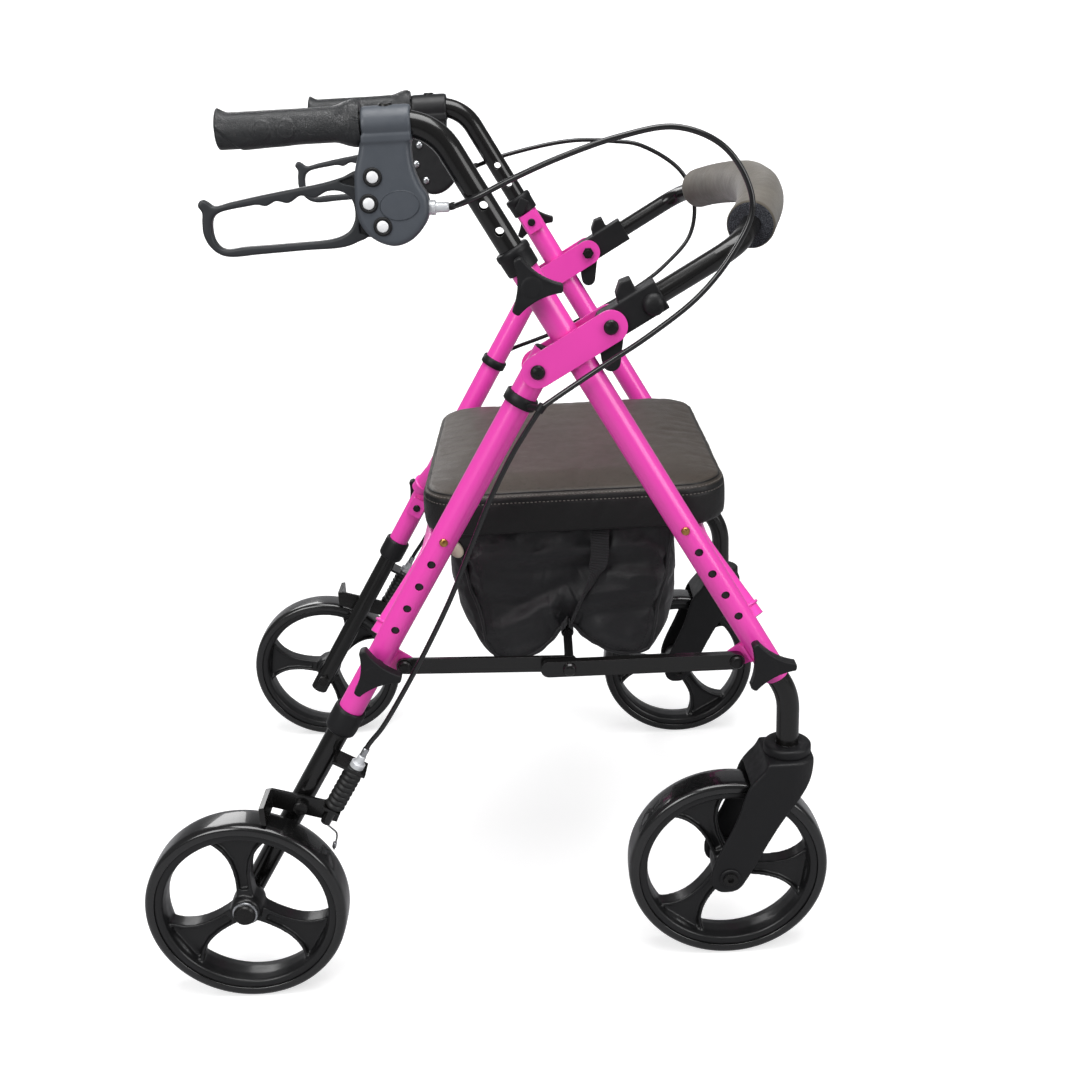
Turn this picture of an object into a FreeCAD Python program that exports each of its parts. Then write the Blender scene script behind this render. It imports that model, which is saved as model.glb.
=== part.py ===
import FreeCAD, Part
import math
import os

# Folding four-wheeled walker with a seat, bag, backrest and hand brakes.
# Frame: +X is the travel direction, +Y the user's left, +Z up, z = 0 on the ground.
# Side pieces are modelled on the left and mirrored. Points in a side view are (x, z) in mm.

Vector = FreeCAD.Vector
ALONG_Y = Vector(0, 1, 0)

# ---------------------------------------------------------------- driving dimensions (mm)
TRACK = 240.0              # half distance between the two side frames (tube axes)
OUT_R, OUT_BORE = 12.7, 11.2       # outer frame tubes
IN_R, IN_BORE = 11.1, 9.6          # telescoping tubes
CROSS_R, CROSS_BORE = 11.0, 9.5    # cross tubes
PITCH = 25.4               # hole pitch of every telescoping tube
HOLE_COUNT = 5             # height adjustment holes in each outer tube
HOLE_R = 4.0
PIN_R = 4.0                # M8 shanks
PIN_BORE = 4.05            # running fit on M8 shanks
SLIP = 0.02                # close radial clearance

WHEEL_R = 101.6
WHEEL_W = 36.0
TYRE_IN_R = 86.0
AXLE_X = 245.0             # both axles sit this far from the middle
REAR_WHEEL_Y = 277.0       # rear wheels run outboard of the rear legs
CASTER_X = 305.5           # caster swivel axis
FRONT_AXLE = (AXLE_X, WHEEL_R)
REAR_AXLE = (-AXLE_X, WHEEL_R)

UPRIGHT_TOP = (63.3, 725.5)      # on the upright axis, centre of the top collar
UPRIGHT_DIR = (0.4879, -0.8729)  # down and forward
FRAME_PIVOT = (75.6, 629.3)      # rear frame pivot, on the rear leg axis
REAR_DIR = (-0.5192, -0.8546)    # down and rearward
BACK_PIVOT = (141.4, 666.0)      # backrest pivot
REAR_LINK = (-68.9, 340.7)       # rear link pivot
MID_LINK = (92.0, 335.4)         # middle link pivot
FRONT_LINK = (253.1, 334.9)      # front link pivot
SEAT_HINGE = (224.0, 437.0)      # front cross tube axis, also the seat hinge
REAR_BAR = (-38.0, 437.9)        # rear cross tube axis
LEVER_PIVOT = (-49.7, 761.3)
BRAKE_PIVOT = (-183.2, 200.4)

# Distances along the upright, from UPRIGHT_TOP
UPRIGHT_START, UPRIGHT_END = -9.0, 472.0
UPPER_KNOB_T = 22.2
FRONT_BUTTON_T = 290.2
FRONT_KNOB_T = 444.5
# Distances along the rear leg, from FRAME_PIVOT
REAR_START, REAR_END = -18.0, 396.0
REAR_BUTTON_T = 183.8
REAR_KNOB_T = 329.0
ANCHOR_T = 431.5           # brake cable anchor

# Y faces of the left fold linkage
EAR_T = 3.0                        # thickness of the bracket ears
FRONT_EAR_OUT = 242.0              # outer face of the front bracket ear
REAR_EAR_OUT = 235.0               # outer face of the rear bracket ear
FRONT_BAR_Y0, FRONT_BAR_Y1 = 242.5, 251.0    # front link channel
REAR_BAR_Y0, REAR_BAR_Y1 = 235.5, 239.5      # rear link flat bar

os.makedirs("parts", exist_ok=True)


# ---------------------------------------------------------------- saving and mirroring
def save(name, shapes):
    """One file per piece; a list is a group of separate solids."""
    if not isinstance(shapes, list):
        shapes = [shapes]
    solids = [solid for shape in shapes for solid in shape.Solids]
    result = solids[0] if len(solids) == 1 else Part.makeCompound(solids)
    result.exportStep("parts/" + name + ".step")


def mirrored(shape):
    """The same piece on the user's right side."""
    return shape.mirror(Vector(0, 0, 0), ALONG_Y)


def save_sides(name, *left_shapes):
    save(name + "_left", list(left_shapes))
    save(name + "_right", [mirrored(shape) for shape in left_shapes])


def both(*shapes):
    """Each shape followed by its mirror image."""
    return [side for shape in shapes for side in (shape, mirrored(shape))]


def fuse(shapes):
    return shapes[0].multiFuse(shapes[1:]).removeSplitter()


def cut(shape, tools):
    for tool in tools:
        shape = shape.cut(tool)
    return shape


# ---------------------------------------------------------------- points
def at_y(point, y):
    return Vector(point[0], y, point[1])


def xz(vector):
    return (vector.x, vector.z)


def offset(origin, direction, along, across=0.0):
    """Side-view point along a direction and across it (across = the direction turned X to Z)."""
    return (origin[0] + along * direction[0] - across * direction[1],
            origin[1] + along * direction[1] + across * direction[0])


def polar(centre, radius, angle, across=0.0):
    return offset(centre, (math.cos(angle), math.sin(angle)), radius, across)


def hexagon(centre, radius):
    return [polar(centre, radius, math.radians(60 * k)) for k in range(6)]


def on_upright(t):
    return at_y(offset(UPRIGHT_TOP, UPRIGHT_DIR, t), TRACK)


def on_rear(t, y=TRACK, forward=0.0):
    """t along the rear leg from its pivot; forward is square to the leg."""
    return at_y(offset(FRAME_PIVOT, REAR_DIR, t, forward), y)


# ---------------------------------------------------------------- solids
def rod(start, end, radius):
    axis = end - start
    return Part.makeCylinder(radius, axis.Length, start, axis)


def upright_rod(t0, t1, radius):
    return rod(on_upright(t0), on_upright(t1), radius)


def rear_rod(t0, t1, radius):
    return rod(on_rear(t0), on_rear(t1), radius)


def y_cylinder(centre, y0, y1, radius):
    return Part.makeCylinder(radius, y1 - y0, at_y(centre, y0), ALONG_Y)


def lines(corners):
    return [Part.makeLine(start, end) for start, end in zip(corners, corners[1:])]


def spline(points, y):
    curve = Part.BSplineCurve()
    curve.interpolate([at_y(point, y) for point in points])
    return curve.toShape()


def y_extrusion(edges, length):
    return Part.Face(Part.Wire(edges)).extrude(Vector(0, length, 0))


def prism(points, y0, y1):
    corners = [at_y(point, y0) for point in points]
    face = Part.Face(Part.makePolygon(corners + [corners[0]]))
    return face.extrude(Vector(0, y1 - y0, 0))


def smooth_prism(points, y0, y1):
    """Plate bounded by one closed smooth curve."""
    curve = Part.BSplineCurve()
    curve.interpolate([at_y(point, y0) for point in points], PeriodicFlag=True)
    return y_extrusion([curve.toShape()], y1 - y0)


def part_smooth_prism(points, y0, y1, closing=()):
    """Plate bounded by a smooth curve, closed by straight edges through the closing points."""
    corners = [at_y(point, y0) for point in (points[-1], *closing, points[0])]
    return y_extrusion([spline(points, y0)] + lines(corners), y1 - y0)


def hull_plate(centre1, r1, centre2, r2, y0, y1):
    """Two discs joined by their outer tangents, as a plate."""
    dx, dz = centre2[0] - centre1[0], centre2[1] - centre1[1]
    axis = math.atan2(dz, dx)
    spread = math.acos((r1 - r2) / math.hypot(dx, dz))

    def rim_point(centre, radius, angle):
        return at_y(polar(centre, radius, angle), y0)

    upper1, upper2 = (rim_point(centre1, r1, axis + spread),
                      rim_point(centre2, r2, axis + spread))
    lower2, lower1 = (rim_point(centre2, r2, axis - spread),
                      rim_point(centre1, r1, axis - spread))
    tip2 = rim_point(centre2, r2, axis)
    tip1 = rim_point(centre1, r1, axis + math.pi)
    return y_extrusion([Part.makeLine(upper1, upper2), Part.Arc(upper2, tip2, lower2).toShape(),
                        Part.makeLine(lower2, lower1), Part.Arc(lower1, tip1, upper1).toShape()],
                       y1 - y0)


def path(points, radius):
    """Straight runs joined by tangent arcs; radius is one value or one per bend."""
    edges, run_start = [], points[0]
    for i in range(1, len(points) - 1):
        bend = radius[i - 1] if isinstance(radius, list) else radius
        before = (points[i - 1] - points[i]).normalize()
        after = (points[i + 1] - points[i]).normalize()
        half_angle = math.acos(max(-1, min(1, before.dot(after)))) / 2
        setback = bend / math.tan(half_angle)
        arc_start, arc_end = points[i] + before * setback, points[i] + after * setback
        bisector = (before + after).normalize()
        arc_mid = points[i] + bisector * (bend / math.sin(half_angle) - bend)
        edges.append(Part.makeLine(run_start, arc_start))
        edges.append(Part.Arc(arc_start, arc_mid, arc_end).toShape())
        run_start = arc_end
    edges.append(Part.makeLine(run_start, points[-1]))
    return Part.Wire(edges)


def sweep(wire, radius):
    first = wire.Edges[0]
    start = first.valueAt(first.FirstParameter)
    tangent = first.tangentAt(first.FirstParameter)
    section = Part.Wire(Part.makeCircle(radius, start, tangent))
    return wire.makePipeShell([section], True, False)


def revolve_y(profile, centre, y):
    """Profile of (radius, offset along Y) turned about the Y axis through centre."""
    points = [Vector(centre[0], y + shift, centre[1] + radius) for radius, shift in profile]
    face = Part.Face(Part.makePolygon(points + [points[0]]))
    return face.revolve(at_y(centre, y), ALONG_Y, 360)


def dome_head(centre, y, height):
    """Low domed bolt head from y outboard."""
    radius = 6.6
    return revolve_y([(0, 0), (radius, 0), (radius, height * 0.45), (radius * 0.8, height * 0.85),
                      (radius * 0.45, height), (0, height)], centre, y)


def through_bolt(centre, head_y, nut_y, head_height):
    """Domed bolt with a hexagon nut at its inner end."""
    shank = y_cylinder(centre, nut_y - 6, head_y + 1, PIN_R)
    head = dome_head(centre, head_y, head_height)
    nut = prism(hexagon(centre, 6.9), nut_y - 5.0, nut_y)
    return fuse([shank, head, nut])


# ---------------------------------------------------------------- frame details
PLATE_GAP = 12.9           # inner faces of the side plates from the tube axis
PLATE_T = 3.0
PLATE_R = 14.75


def side_plate(y0):
    """Plate carrying the rear frame pivot and the backrest pivot."""
    y1 = y0 + PLATE_T
    plate = hull_plate(FRAME_PIVOT, PLATE_R, BACK_PIVOT, PLATE_R, y0, y1)
    return cut(plate, [y_cylinder(pivot, y0 - 1, y1 + 1, PIN_BORE)
                       for pivot in (FRAME_PIVOT, BACK_PIVOT)])


def weld_pad(y0, y1):
    """Weld bead between the upright and a side plate."""
    middle = ((FRAME_PIVOT[0] + BACK_PIVOT[0]) / 2, (FRAME_PIVOT[1] + BACK_PIVOT[1]) / 2)
    corners = ((13, 4.0), (13, -4.0), (-13, -4.0), (-13, 4.0))    # along, across
    return prism([offset(middle, UPRIGHT_DIR, *corner) for corner in corners], y0, y1)


def link_bracket(pivot, tube_origin, tube_dir, ear_out, web_out):
    """Angle bracket: an ear on the link's inner side, with a web against the leg tube."""
    t = ((pivot[0] - tube_origin[0]) * tube_dir[0]
         + (pivot[1] - tube_origin[1]) * tube_dir[1])
    foot = offset(tube_origin, tube_dir, t)    # nearest point of the tube axis
    dx, dz = pivot[0] - foot[0], pivot[1] - foot[1]
    length = math.hypot(dx, dz)
    outward = (dx / length, dz / length)
    ear = hull_plate(pivot, 10.0, offset(foot, outward, 13.4), 11.0, ear_out - EAR_T, ear_out)
    corners = ((11.4, -10), (14.0, -10), (14.0, 10), (11.4, 10))    # outward, along the tube
    web = prism([offset(foot, outward, *corner) for corner in corners], ear_out - EAR_T, web_out)
    return fuse([ear, web])


def nut_block(centre, direction):
    """Nut block welded on the inner face of a tube, behind a locking knob."""
    block = Part.makeBox(24, 7.5, 19, Vector(-12, -17.5, -9.5))
    block = block.makeFillet(2.0, [edge for edge in block.Edges
                                   if abs(edge.tangentAt(edge.FirstParameter).y) > 0.9])
    angle = math.degrees(math.atan2(direction[1], direction[0]))
    block.rotate(Vector(0, 0, 0), Vector(0, -1, 0), angle)
    block.translate(centre)
    return block


def stud_hole(centre):
    return y_cylinder(xz(centre), TRACK + 10.6, TRACK + 14.6, PIN_BORE)


def button_hole(centre):
    """Snap button hole in the outer wall of a telescoping tube."""
    return y_cylinder(xz(centre), TRACK + 7, TRACK + 13, PIN_BORE)


def height_holes(on_tube, first_t):
    return [y_cylinder(xz(on_tube(first_t + k * PITCH)), TRACK + 9.0, TRACK + 15.0, HOLE_R)
            for k in range(HOLE_COUNT)]


def cross_tube(bar, end_x, end_y, end_z, radius):
    """Straight bar across the walker with both ends bent down and out to the legs."""
    straight_half, bend = 192, 34.0
    return sweep(path([Vector(end_x, -end_y, end_z), at_y(bar, -straight_half),
                       at_y(bar, straight_half), Vector(end_x, end_y, end_z)], bend), radius)


# ---------------------------------------------------------------- front frame
def front_frame():
    parts = both(
        upright_rod(UPRIGHT_START, UPRIGHT_END, OUT_R),
        side_plate(TRACK + PLATE_GAP),
        side_plate(TRACK - PLATE_GAP - PLATE_T),
        weld_pad(TRACK + 10.5, TRACK + PLATE_GAP + 0.5),
        weld_pad(TRACK - PLATE_GAP - 0.5, TRACK - 10.5),
        link_bracket(FRONT_LINK, UPRIGHT_TOP, UPRIGHT_DIR, FRONT_EAR_OUT, web_out=247.0),
        nut_block(on_upright(UPPER_KNOB_T), UPRIGHT_DIR),
        nut_block(on_upright(FRONT_KNOB_T), UPRIGHT_DIR))
    frame = fuse(parts + [cross_tube(SEAT_HINGE, 272, 233, 372, CROSS_R)])
    tools = both(
        upright_rod(UPRIGHT_START - 5, UPRIGHT_END + 5, OUT_BORE),
        stud_hole(on_upright(UPPER_KNOB_T)),
        stud_hole(on_upright(FRONT_KNOB_T)),
        y_cylinder(FRONT_LINK, FRONT_EAR_OUT - 5, FRONT_EAR_OUT + 5, PIN_BORE),
        *height_holes(on_upright, FRONT_BUTTON_T))
    return cut(frame, tools + [cross_tube(SEAT_HINGE, 266, 228, 380, CROSS_BORE)])


def upper_collar():
    """Moulded collar at the top of an upright."""
    return cut(upright_rod(-12, 9.8, 15.6),
               [upright_rod(-14, 14, IN_R + 0.06),
                upright_rod(UPRIGHT_START - 0.05, 14, OUT_R + 0.03)])


def pivot_bolts():
    outer, inner = TRACK + PLATE_GAP + PLATE_T, TRACK - PLATE_GAP - PLATE_T
    return both(through_bolt(FRAME_PIVOT, outer, inner, head_height=4.6),
                through_bolt(BACK_PIVOT, outer, inner, head_height=4.6),
                through_bolt(FRONT_LINK, FRONT_BAR_Y1 + 0.1, FRONT_EAR_OUT - EAR_T,
                             head_height=4.3))


save("front_frame", front_frame())
save("upper_collars", both(upper_collar()))
save("pivot_bolts", pivot_bolts())


# ---------------------------------------------------------------- locking knobs, snap buttons
def hand_knob(centre, phase_degrees):
    """Three-pointed knob with hollow sides, and a stud reaching the sliding tube's surface."""
    centre = xz(centre)
    face_y = TRACK + 20.5

    def point(radius, angle, across=0.0):
        return at_y(polar(centre, radius, angle, across), face_y)

    edges = []
    for k in range(3):
        tip = math.radians(phase_degrees) + 2 * math.pi * k / 3
        next_tip = tip + 2 * math.pi / 3
        edges.append(Part.Arc(point(23.0, tip, -4.0), point(27.0, tip),
                              point(23.0, tip, 4.0)).toShape())
        edges.append(Part.Arc(point(23.0, tip, 4.0), point(10.4, tip + math.pi / 3),
                              point(23.0, next_tip, -4.0)).toShape())
    wings = y_extrusion(edges, 12.0)
    hub = y_cylinder(centre, TRACK + 13.2, TRACK + 21.2, 9.0)
    stud = y_cylinder(centre, TRACK + 11.2, TRACK + 14.2, PIN_R)
    return fuse([wings, hub, stud])


def snap_button(centre):
    """Domed button sitting in the top hole of the outer tube."""
    return revolve_y([(0, 0), (3.93, 0), (3.93, 2.4), (3.3, 3.3), (1.8, 3.8), (0, 3.9)],
                     xz(centre), TRACK + 11.15)


save_sides("knob_upper", hand_knob(on_upright(UPPER_KNOB_T), -5))
save_sides("knob_front", hand_knob(on_upright(FRONT_KNOB_T), -2))
save_sides("knob_rear", hand_knob(on_rear(REAR_KNOB_T), -12))
save_sides("button_front", snap_button(on_upright(FRONT_BUTTON_T)))
save_sides("button_rear", snap_button(on_rear(REAR_BUTTON_T)))

# ---------------------------------------------------------------- front legs and casters
CUP_Z0, CUP_Z1 = 230.5, 239.2
CUP_R = 22.8
LEG_BEND_R = 62.0
STEM_R = 6.0
CASTER_TOP = 230.0
FORK_HALF = 30.0           # half width of the fork
FORK_GAP_HALF = 25.7       # half width of the wheel slot

# Fork side outline (x, z), from the rear end of the top edge round to its front end
FORK_OUTLINE = [
    (281.5, CASTER_TOP), (279.0, 223.5), (271.5, 214.5), (263, 203), (256, 181.4),
    (239.3, 141.5), (227.2, 112.5), (225.3, 98), (229, 88.5), (236, 84), (245, 83.6),
    (254, 86.8), (260.5, 95), (279.5, 131.5), (303.7, 174.5), (317, 193), (326.0, 207),
    (329.2, 219), (329.5, CASTER_TOP)]


def front_leg():
    """Telescoping leg, bent to stand upright over the caster, with a cup at its foot."""
    bend_z = UPRIGHT_TOP[1] + (CASTER_X - UPRIGHT_TOP[0]) * UPRIGHT_DIR[1] / UPRIGHT_DIR[0]

    def leg_sweep(top_t, foot_z, radius):
        return sweep(path([on_upright(top_t), Vector(CASTER_X, TRACK, bend_z),
                           Vector(CASTER_X, TRACK, foot_z)], LEG_BEND_R), radius)

    outside = leg_sweep(FRONT_BUTTON_T - 25, 238.0, IN_R)
    inside = leg_sweep(FRONT_BUTTON_T - 27, 240.0, IN_BORE)
    cup = Part.makeCylinder(CUP_R, CUP_Z1 - CUP_Z0, Vector(CASTER_X, TRACK, CUP_Z0))
    cup = cup.makeFillet(2.2, [edge for edge in cup.Edges
                               if abs(edge.BoundBox.ZMin - CUP_Z1) < 0.01])
    leg = fuse([outside.cut(inside), cup])
    leg = leg.cut(Part.makeCylinder(STEM_R + 0.08, 40, Vector(CASTER_X, TRACK, CUP_Z0 - 1)))
    return leg.cut(button_hole(on_upright(FRONT_BUTTON_T)))


def caster_fork():
    fork = part_smooth_prism(FORK_OUTLINE, TRACK - FORK_HALF, TRACK + FORK_HALF)
    # the crown is rounded in plan, the blades stay full width
    crown_x, rear_x, height = CASTER_X - 2, 180, 260
    plan = fuse([Part.makeCylinder(FORK_HALF, height, Vector(crown_x, TRACK, 0)),
                 Part.makeBox(crown_x - rear_x, 2 * FORK_HALF, height,
                              Vector(rear_x, TRACK - FORK_HALF, 0))])
    fork = fork.common(plan)
    fork = fork.cut(y_cylinder(FRONT_AXLE, TRACK - FORK_GAP_HALF, TRACK + FORK_GAP_HALF,
                               WHEEL_R + 4.0))
    stem = Part.makeCylinder(STEM_R, 34, Vector(CASTER_X, TRACK, CASTER_TOP - 4))
    fork = fuse([fork, stem])
    return fork.cut(y_cylinder(FRONT_AXLE, TRACK - 40, TRACK + 40, PIN_BORE))


save_sides("front_leg", front_leg())
save_sides("caster_fork", caster_fork())

# ---------------------------------------------------------------- wheels
# Half outlines of a spoke and of its hollow: (radius from the axle, half width)
SPOKE_HALF = [(12, 9.0), (24, 8.0), (40, 8.4), (54, 11.5), (66, 19.0), (73, 27.5), (77.8, 34.8)]
HOLLOW_HALF = [(22, 4.6), (40, 4.9), (54, 7.8), (66, 14.5), (72.5, 21.5), (75.5, 26.0)]


def spoke(wheel_y, angle):
    """Flared spoke, hollowed on both faces so that edge ribs remain."""
    def outline(half):
        mirror_half = [(radius, -width) for radius, width in reversed(half)]
        return [polar(FRONT_AXLE, radius, angle, width) for radius, width in half + mirror_half]

    points, count, y0 = outline(SPOKE_HALF), len(SPOKE_HALF), wheel_y - 9
    solid = y_extrusion([spline(points[:count], y0),
                         Part.makeLine(at_y(points[count - 1], y0), at_y(points[count], y0)),
                         spline(points[count:], y0),
                         Part.makeLine(at_y(points[-1], y0), at_y(points[0], y0))], 18)
    hollow = outline(HOLLOW_HALF)
    return cut(solid, [prism(hollow, wheel_y + 4.0, wheel_y + 12),
                       prism(hollow, wheel_y - 12, wheel_y - 4.0)])


def rim(wheel_y, hub_half, hub_r, first_degrees):
    """Moulded rim on the front axle: outer band, hub barrel and three spokes."""
    band = revolve_y([(78.5, -15), (80.5, -16.5), (85.97, -16.5), (85.97, 16.5), (80.5, 16.5),
                      (78.5, 15), (77.0, 6), (77.0, -6)], FRONT_AXLE, wheel_y)
    hub = revolve_y([(PIN_BORE, -hub_half), (hub_r - 3, -hub_half), (hub_r - 1.5, -hub_half + 2),
                     (hub_r, -8), (hub_r, 8), (hub_r - 1.5, hub_half - 2),
                     (hub_r - 3, hub_half), (PIN_BORE, hub_half)], FRONT_AXLE, wheel_y)
    spokes = [spoke(wheel_y, math.radians(first_degrees + 120 * k)) for k in range(3)]
    body = fuse([band, hub] + spokes)
    return body.cut(y_cylinder(FRONT_AXLE, wheel_y - 40, wheel_y + 40, PIN_BORE))


def tyre(wheel_y):
    half = WHEEL_W / 2
    return revolve_y([(TYRE_IN_R, -half + 1.5), (TYRE_IN_R + 1.5, -half), (94.5, -half),
                      (98.6, -half + 1.6), (100.7, -half + 4.5), (WHEEL_R, -half + 9),
                      (WHEEL_R, half - 9), (100.7, half - 4.5), (98.6, half - 1.6),
                      (94.5, half), (TYRE_IN_R + 1.5, half), (TYRE_IN_R, half - 1.5)],
                     FRONT_AXLE, wheel_y)


def to_rear(shape):
    """A wheel piece made on the front axle, moved to the rear axle."""
    moved = shape.copy()
    moved.translate(Vector(-2 * AXLE_X, 0, 0))
    return moved


def front_axle():
    """Socket-head bolt and its hexagon nut."""
    bolt = fuse([y_cylinder(FRONT_AXLE, TRACK - 34, TRACK + 31, PIN_R),
                 y_cylinder(FRONT_AXLE, TRACK + 30.05, TRACK + 34.0, 7.0)])
    bolt = bolt.cut(prism(hexagon(FRONT_AXLE, 3.4), TRACK + 31.5, TRACK + 35))
    nut = prism(hexagon(FRONT_AXLE, 7.5), TRACK - 36.5, TRACK - 30.05)
    nut = nut.cut(y_cylinder(FRONT_AXLE, TRACK - 40, TRACK - 20, PIN_R + SLIP))
    return bolt, nut


save("rim_front_left", rim(TRACK, 25.0, 16.0, 60.0))
save("rim_front_right", mirrored(rim(TRACK, 25.0, 16.0, 112.0)))
save_sides("tyre_front", tyre(TRACK))
save("rim_rear_left", to_rear(rim(REAR_WHEEL_Y, 16.0, 16.5, 50.0)))
save("rim_rear_right", mirrored(to_rear(rim(REAR_WHEEL_Y, 16.0, 16.5, 90.0))))
save_sides("tyre_rear", to_rear(tyre(REAR_WHEEL_Y)))
save_sides("front_axle", *front_axle())


# ---------------------------------------------------------------- rear frame
def rear_frame():
    parts = both(
        rear_rod(REAR_START, REAR_END, OUT_R),
        link_bracket(REAR_LINK, FRAME_PIVOT, REAR_DIR, REAR_EAR_OUT, web_out=240.0),
        nut_block(on_rear(REAR_KNOB_T), REAR_DIR))
    frame = fuse(parts + [cross_tube(REAR_BAR, -90, 233, 372, CROSS_R)])
    tools = both(
        rear_rod(REAR_START - 5, REAR_END + 5, OUT_BORE),
        y_cylinder(FRAME_PIVOT, TRACK - 20, TRACK + 20, PIN_BORE),
        stud_hole(on_rear(REAR_KNOB_T)),
        y_cylinder(REAR_LINK, REAR_EAR_OUT - 6, REAR_EAR_OUT + 6, PIN_BORE),
        *height_holes(on_rear, REAR_BUTTON_T))
    return cut(frame, tools + [cross_tube(REAR_BAR, -84, 228, 380, CROSS_BORE)])


def rear_plug():
    """Plug in the top end of a rear tube."""
    return fuse([rear_rod(REAR_START - 1.4, REAR_START, 12.2),
                 rear_rod(REAR_START - 1, REAR_START + 12, OUT_BORE - 0.05)])


def rear_sleeve():
    """Sleeve round the lower end of a rear tube."""
    return cut(rear_rod(386, 414, 16.0),
               [rear_rod(385, 415, IN_R + 0.06), rear_rod(385, REAR_END + 0.05, OUT_R + 0.03)])


save("rear_frame", rear_frame())
save("rear_tube_caps", both(rear_plug(), rear_sleeve()))
save("link_bolts", both(through_bolt(REAR_LINK, REAR_BAR_Y1 + 0.1, REAR_EAR_OUT - EAR_T,
                                     head_height=4.0)))

# ---------------------------------------------------------------- rear legs, brakes, rear axles
CABLE_Y = 262.0            # cable axis beside the rear leg
CABLE_FORWARD = 30.0       # and forward of the leg axis
ARM_Y0, ARM_Y1 = 254.6, 257.6    # faces of the brake arm plate
BELLOWS_END_T = 476.0
BELLOWS_FOLDS = 8

# Brake arm plate and the strip over the tyre (x, z)
ARM_OUTLINE = [(-217.0, 220.5), (-211.0, 221.5), (-142.8, 200.4), (-142.8, 196.0),
               (-149.3, 180.6), (-212.0, 200.8), (-217.0, 202.6)]
PAD_OUTLINE = [(-217.0, 220.5), (-211.8, 221.3), (-211.8, 201.2), (-213.5, 201.0),
               (-217.0, 202.6)]


def on_cable(t):
    return on_rear(t, CABLE_Y, CABLE_FORWARD)


def cable_rod(t0, t1, radius):
    return rod(on_cable(t0), on_cable(t1), radius)


def leg_block(t0, t1, forward0, forward1, y0, y1):
    """Box aligned with the rear leg: along it, square to it (forward), and across."""
    corners = ((t0, forward0), (t1, forward0), (t1, forward1), (t0, forward1))
    return prism([offset(FRAME_PIVOT, REAR_DIR, *corner) for corner in corners], y0, y1)


def rear_leg():
    """Telescoping leg with the cable anchor tab and the brake pivot pin."""
    leg = rear_rod(160, 637, IN_R).cut(rear_rod(159, 633, IN_BORE))
    leg = fuse([leg, leg_block(ANCHOR_T, ANCHOR_T + 3.0, 6.0, 41.0, 246.0, 271.0)])
    leg = cut(leg, [button_hole(on_rear(REAR_BUTTON_T)),
                    y_cylinder(REAR_AXLE, TRACK - 30, TRACK + 30, PIN_BORE),
                    cable_rod(ANCHOR_T - 2, ANCHOR_T + 6, 4.1)])
    # shouldered pivot pin of the brake arm, riveted into the leg
    return fuse([leg, y_cylinder(BRAKE_PIVOT, TRACK - 8, 257.9, 3.5),
                 y_cylinder(BRAKE_PIVOT, 257.8, 260.2, 7.0)])


def brake_spring_cover():
    """Barrel adjuster and bellows above the brake arm."""
    parts = [cable_rod(ANCHOR_T - 12, ANCHOR_T + 5, 4.0),
             cable_rod(ANCHOR_T - 7.0, ANCHOR_T - 0.05, 6.0)]
    first_t = ANCHOR_T + 3.05
    length = BELLOWS_END_T - first_t
    for k in range(BELLOWS_FOLDS):
        start = first_t + length * k / BELLOWS_FOLDS
        end = first_t + length * (k + 1) / BELLOWS_FOLDS
        middle = (start + end) / 2
        axis = on_cable(end) - on_cable(start)
        parts.append(Part.makeCone(6.4, 8.6, middle - start, on_cable(start), axis))
        parts.append(Part.makeCone(8.6, 6.4, end - middle, on_cable(middle), axis))
    return fuse(parts)


def brake_arm():
    """Side plate, pad strip over the tyre, cable tab and boss."""
    arm = fuse([prism(ARM_OUTLINE, ARM_Y0, ARM_Y1),
                prism(PAD_OUTLINE, ARM_Y0, 292.0),
                leg_block(483.2, 486.2, 20.0, 38.0, ARM_Y0, 270.0),
                cable_rod(486.1, 503.0, 5.2)])
    return arm.cut(y_cylinder(BRAKE_PIVOT, 250, 262, 3.56))


def rear_axle():
    """Bolt with a cap at its outer end, spacer and nut."""
    cap = revolve_y([(0, 0), (8.0, 0), (11.0, 0.6), (11.0, 4.2), (9.6, 6.2), (0, 6.6)],
                    REAR_AXLE, 293.4)
    bolt = fuse([y_cylinder(REAR_AXLE, 222.0, 296.0, PIN_R), cap])
    spacer = y_cylinder(REAR_AXLE, 251.15, 260.8, 7.5)
    spacer = spacer.cut(y_cylinder(REAR_AXLE, 250, 262, PIN_R + SLIP))
    nut = prism(hexagon(REAR_AXLE, 7.5), 222.5, 228.8)
    nut = nut.cut(y_cylinder(REAR_AXLE, 220, 230, PIN_R + SLIP))
    return bolt, spacer, nut


save_sides("rear_leg", rear_leg())
save_sides("brake_spring_cover", brake_spring_cover())
save_sides("brake_arm", brake_arm())
save_sides("rear_axle", *rear_axle())

# ---------------------------------------------------------------- fold links and cross rod
CROSS_ROD_R = 4.5
LINK_R = 8.0               # end radius of the links


def front_link():
    """Channel open on its inner face, running a little past the middle pivot."""
    dx, dz = FRONT_LINK[0] - MID_LINK[0], FRONT_LINK[1] - MID_LINK[1]
    length = math.hypot(dx, dz)
    end = offset(MID_LINK, (dx / length, dz / length), -20.0)
    channel = hull_plate(end, LINK_R, FRONT_LINK, LINK_R, FRONT_BAR_Y0, FRONT_BAR_Y1)
    channel = channel.cut(hull_plate((end[0] + 1, end[1]), 5.8,
                                     (FRONT_LINK[0] - 14, FRONT_LINK[1]), 5.8,
                                     FRONT_BAR_Y0 - 1, FRONT_BAR_Y1 - 2.2))
    channel = fuse([channel, y_cylinder(MID_LINK, 240.6, 252.0, 4.0),
                    dome_head(MID_LINK, FRONT_BAR_Y1 - 0.1, 4.4)])
    return channel.cut(y_cylinder(FRONT_LINK, FRONT_BAR_Y0 - 2, FRONT_BAR_Y1 + 2, PIN_BORE))


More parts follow.
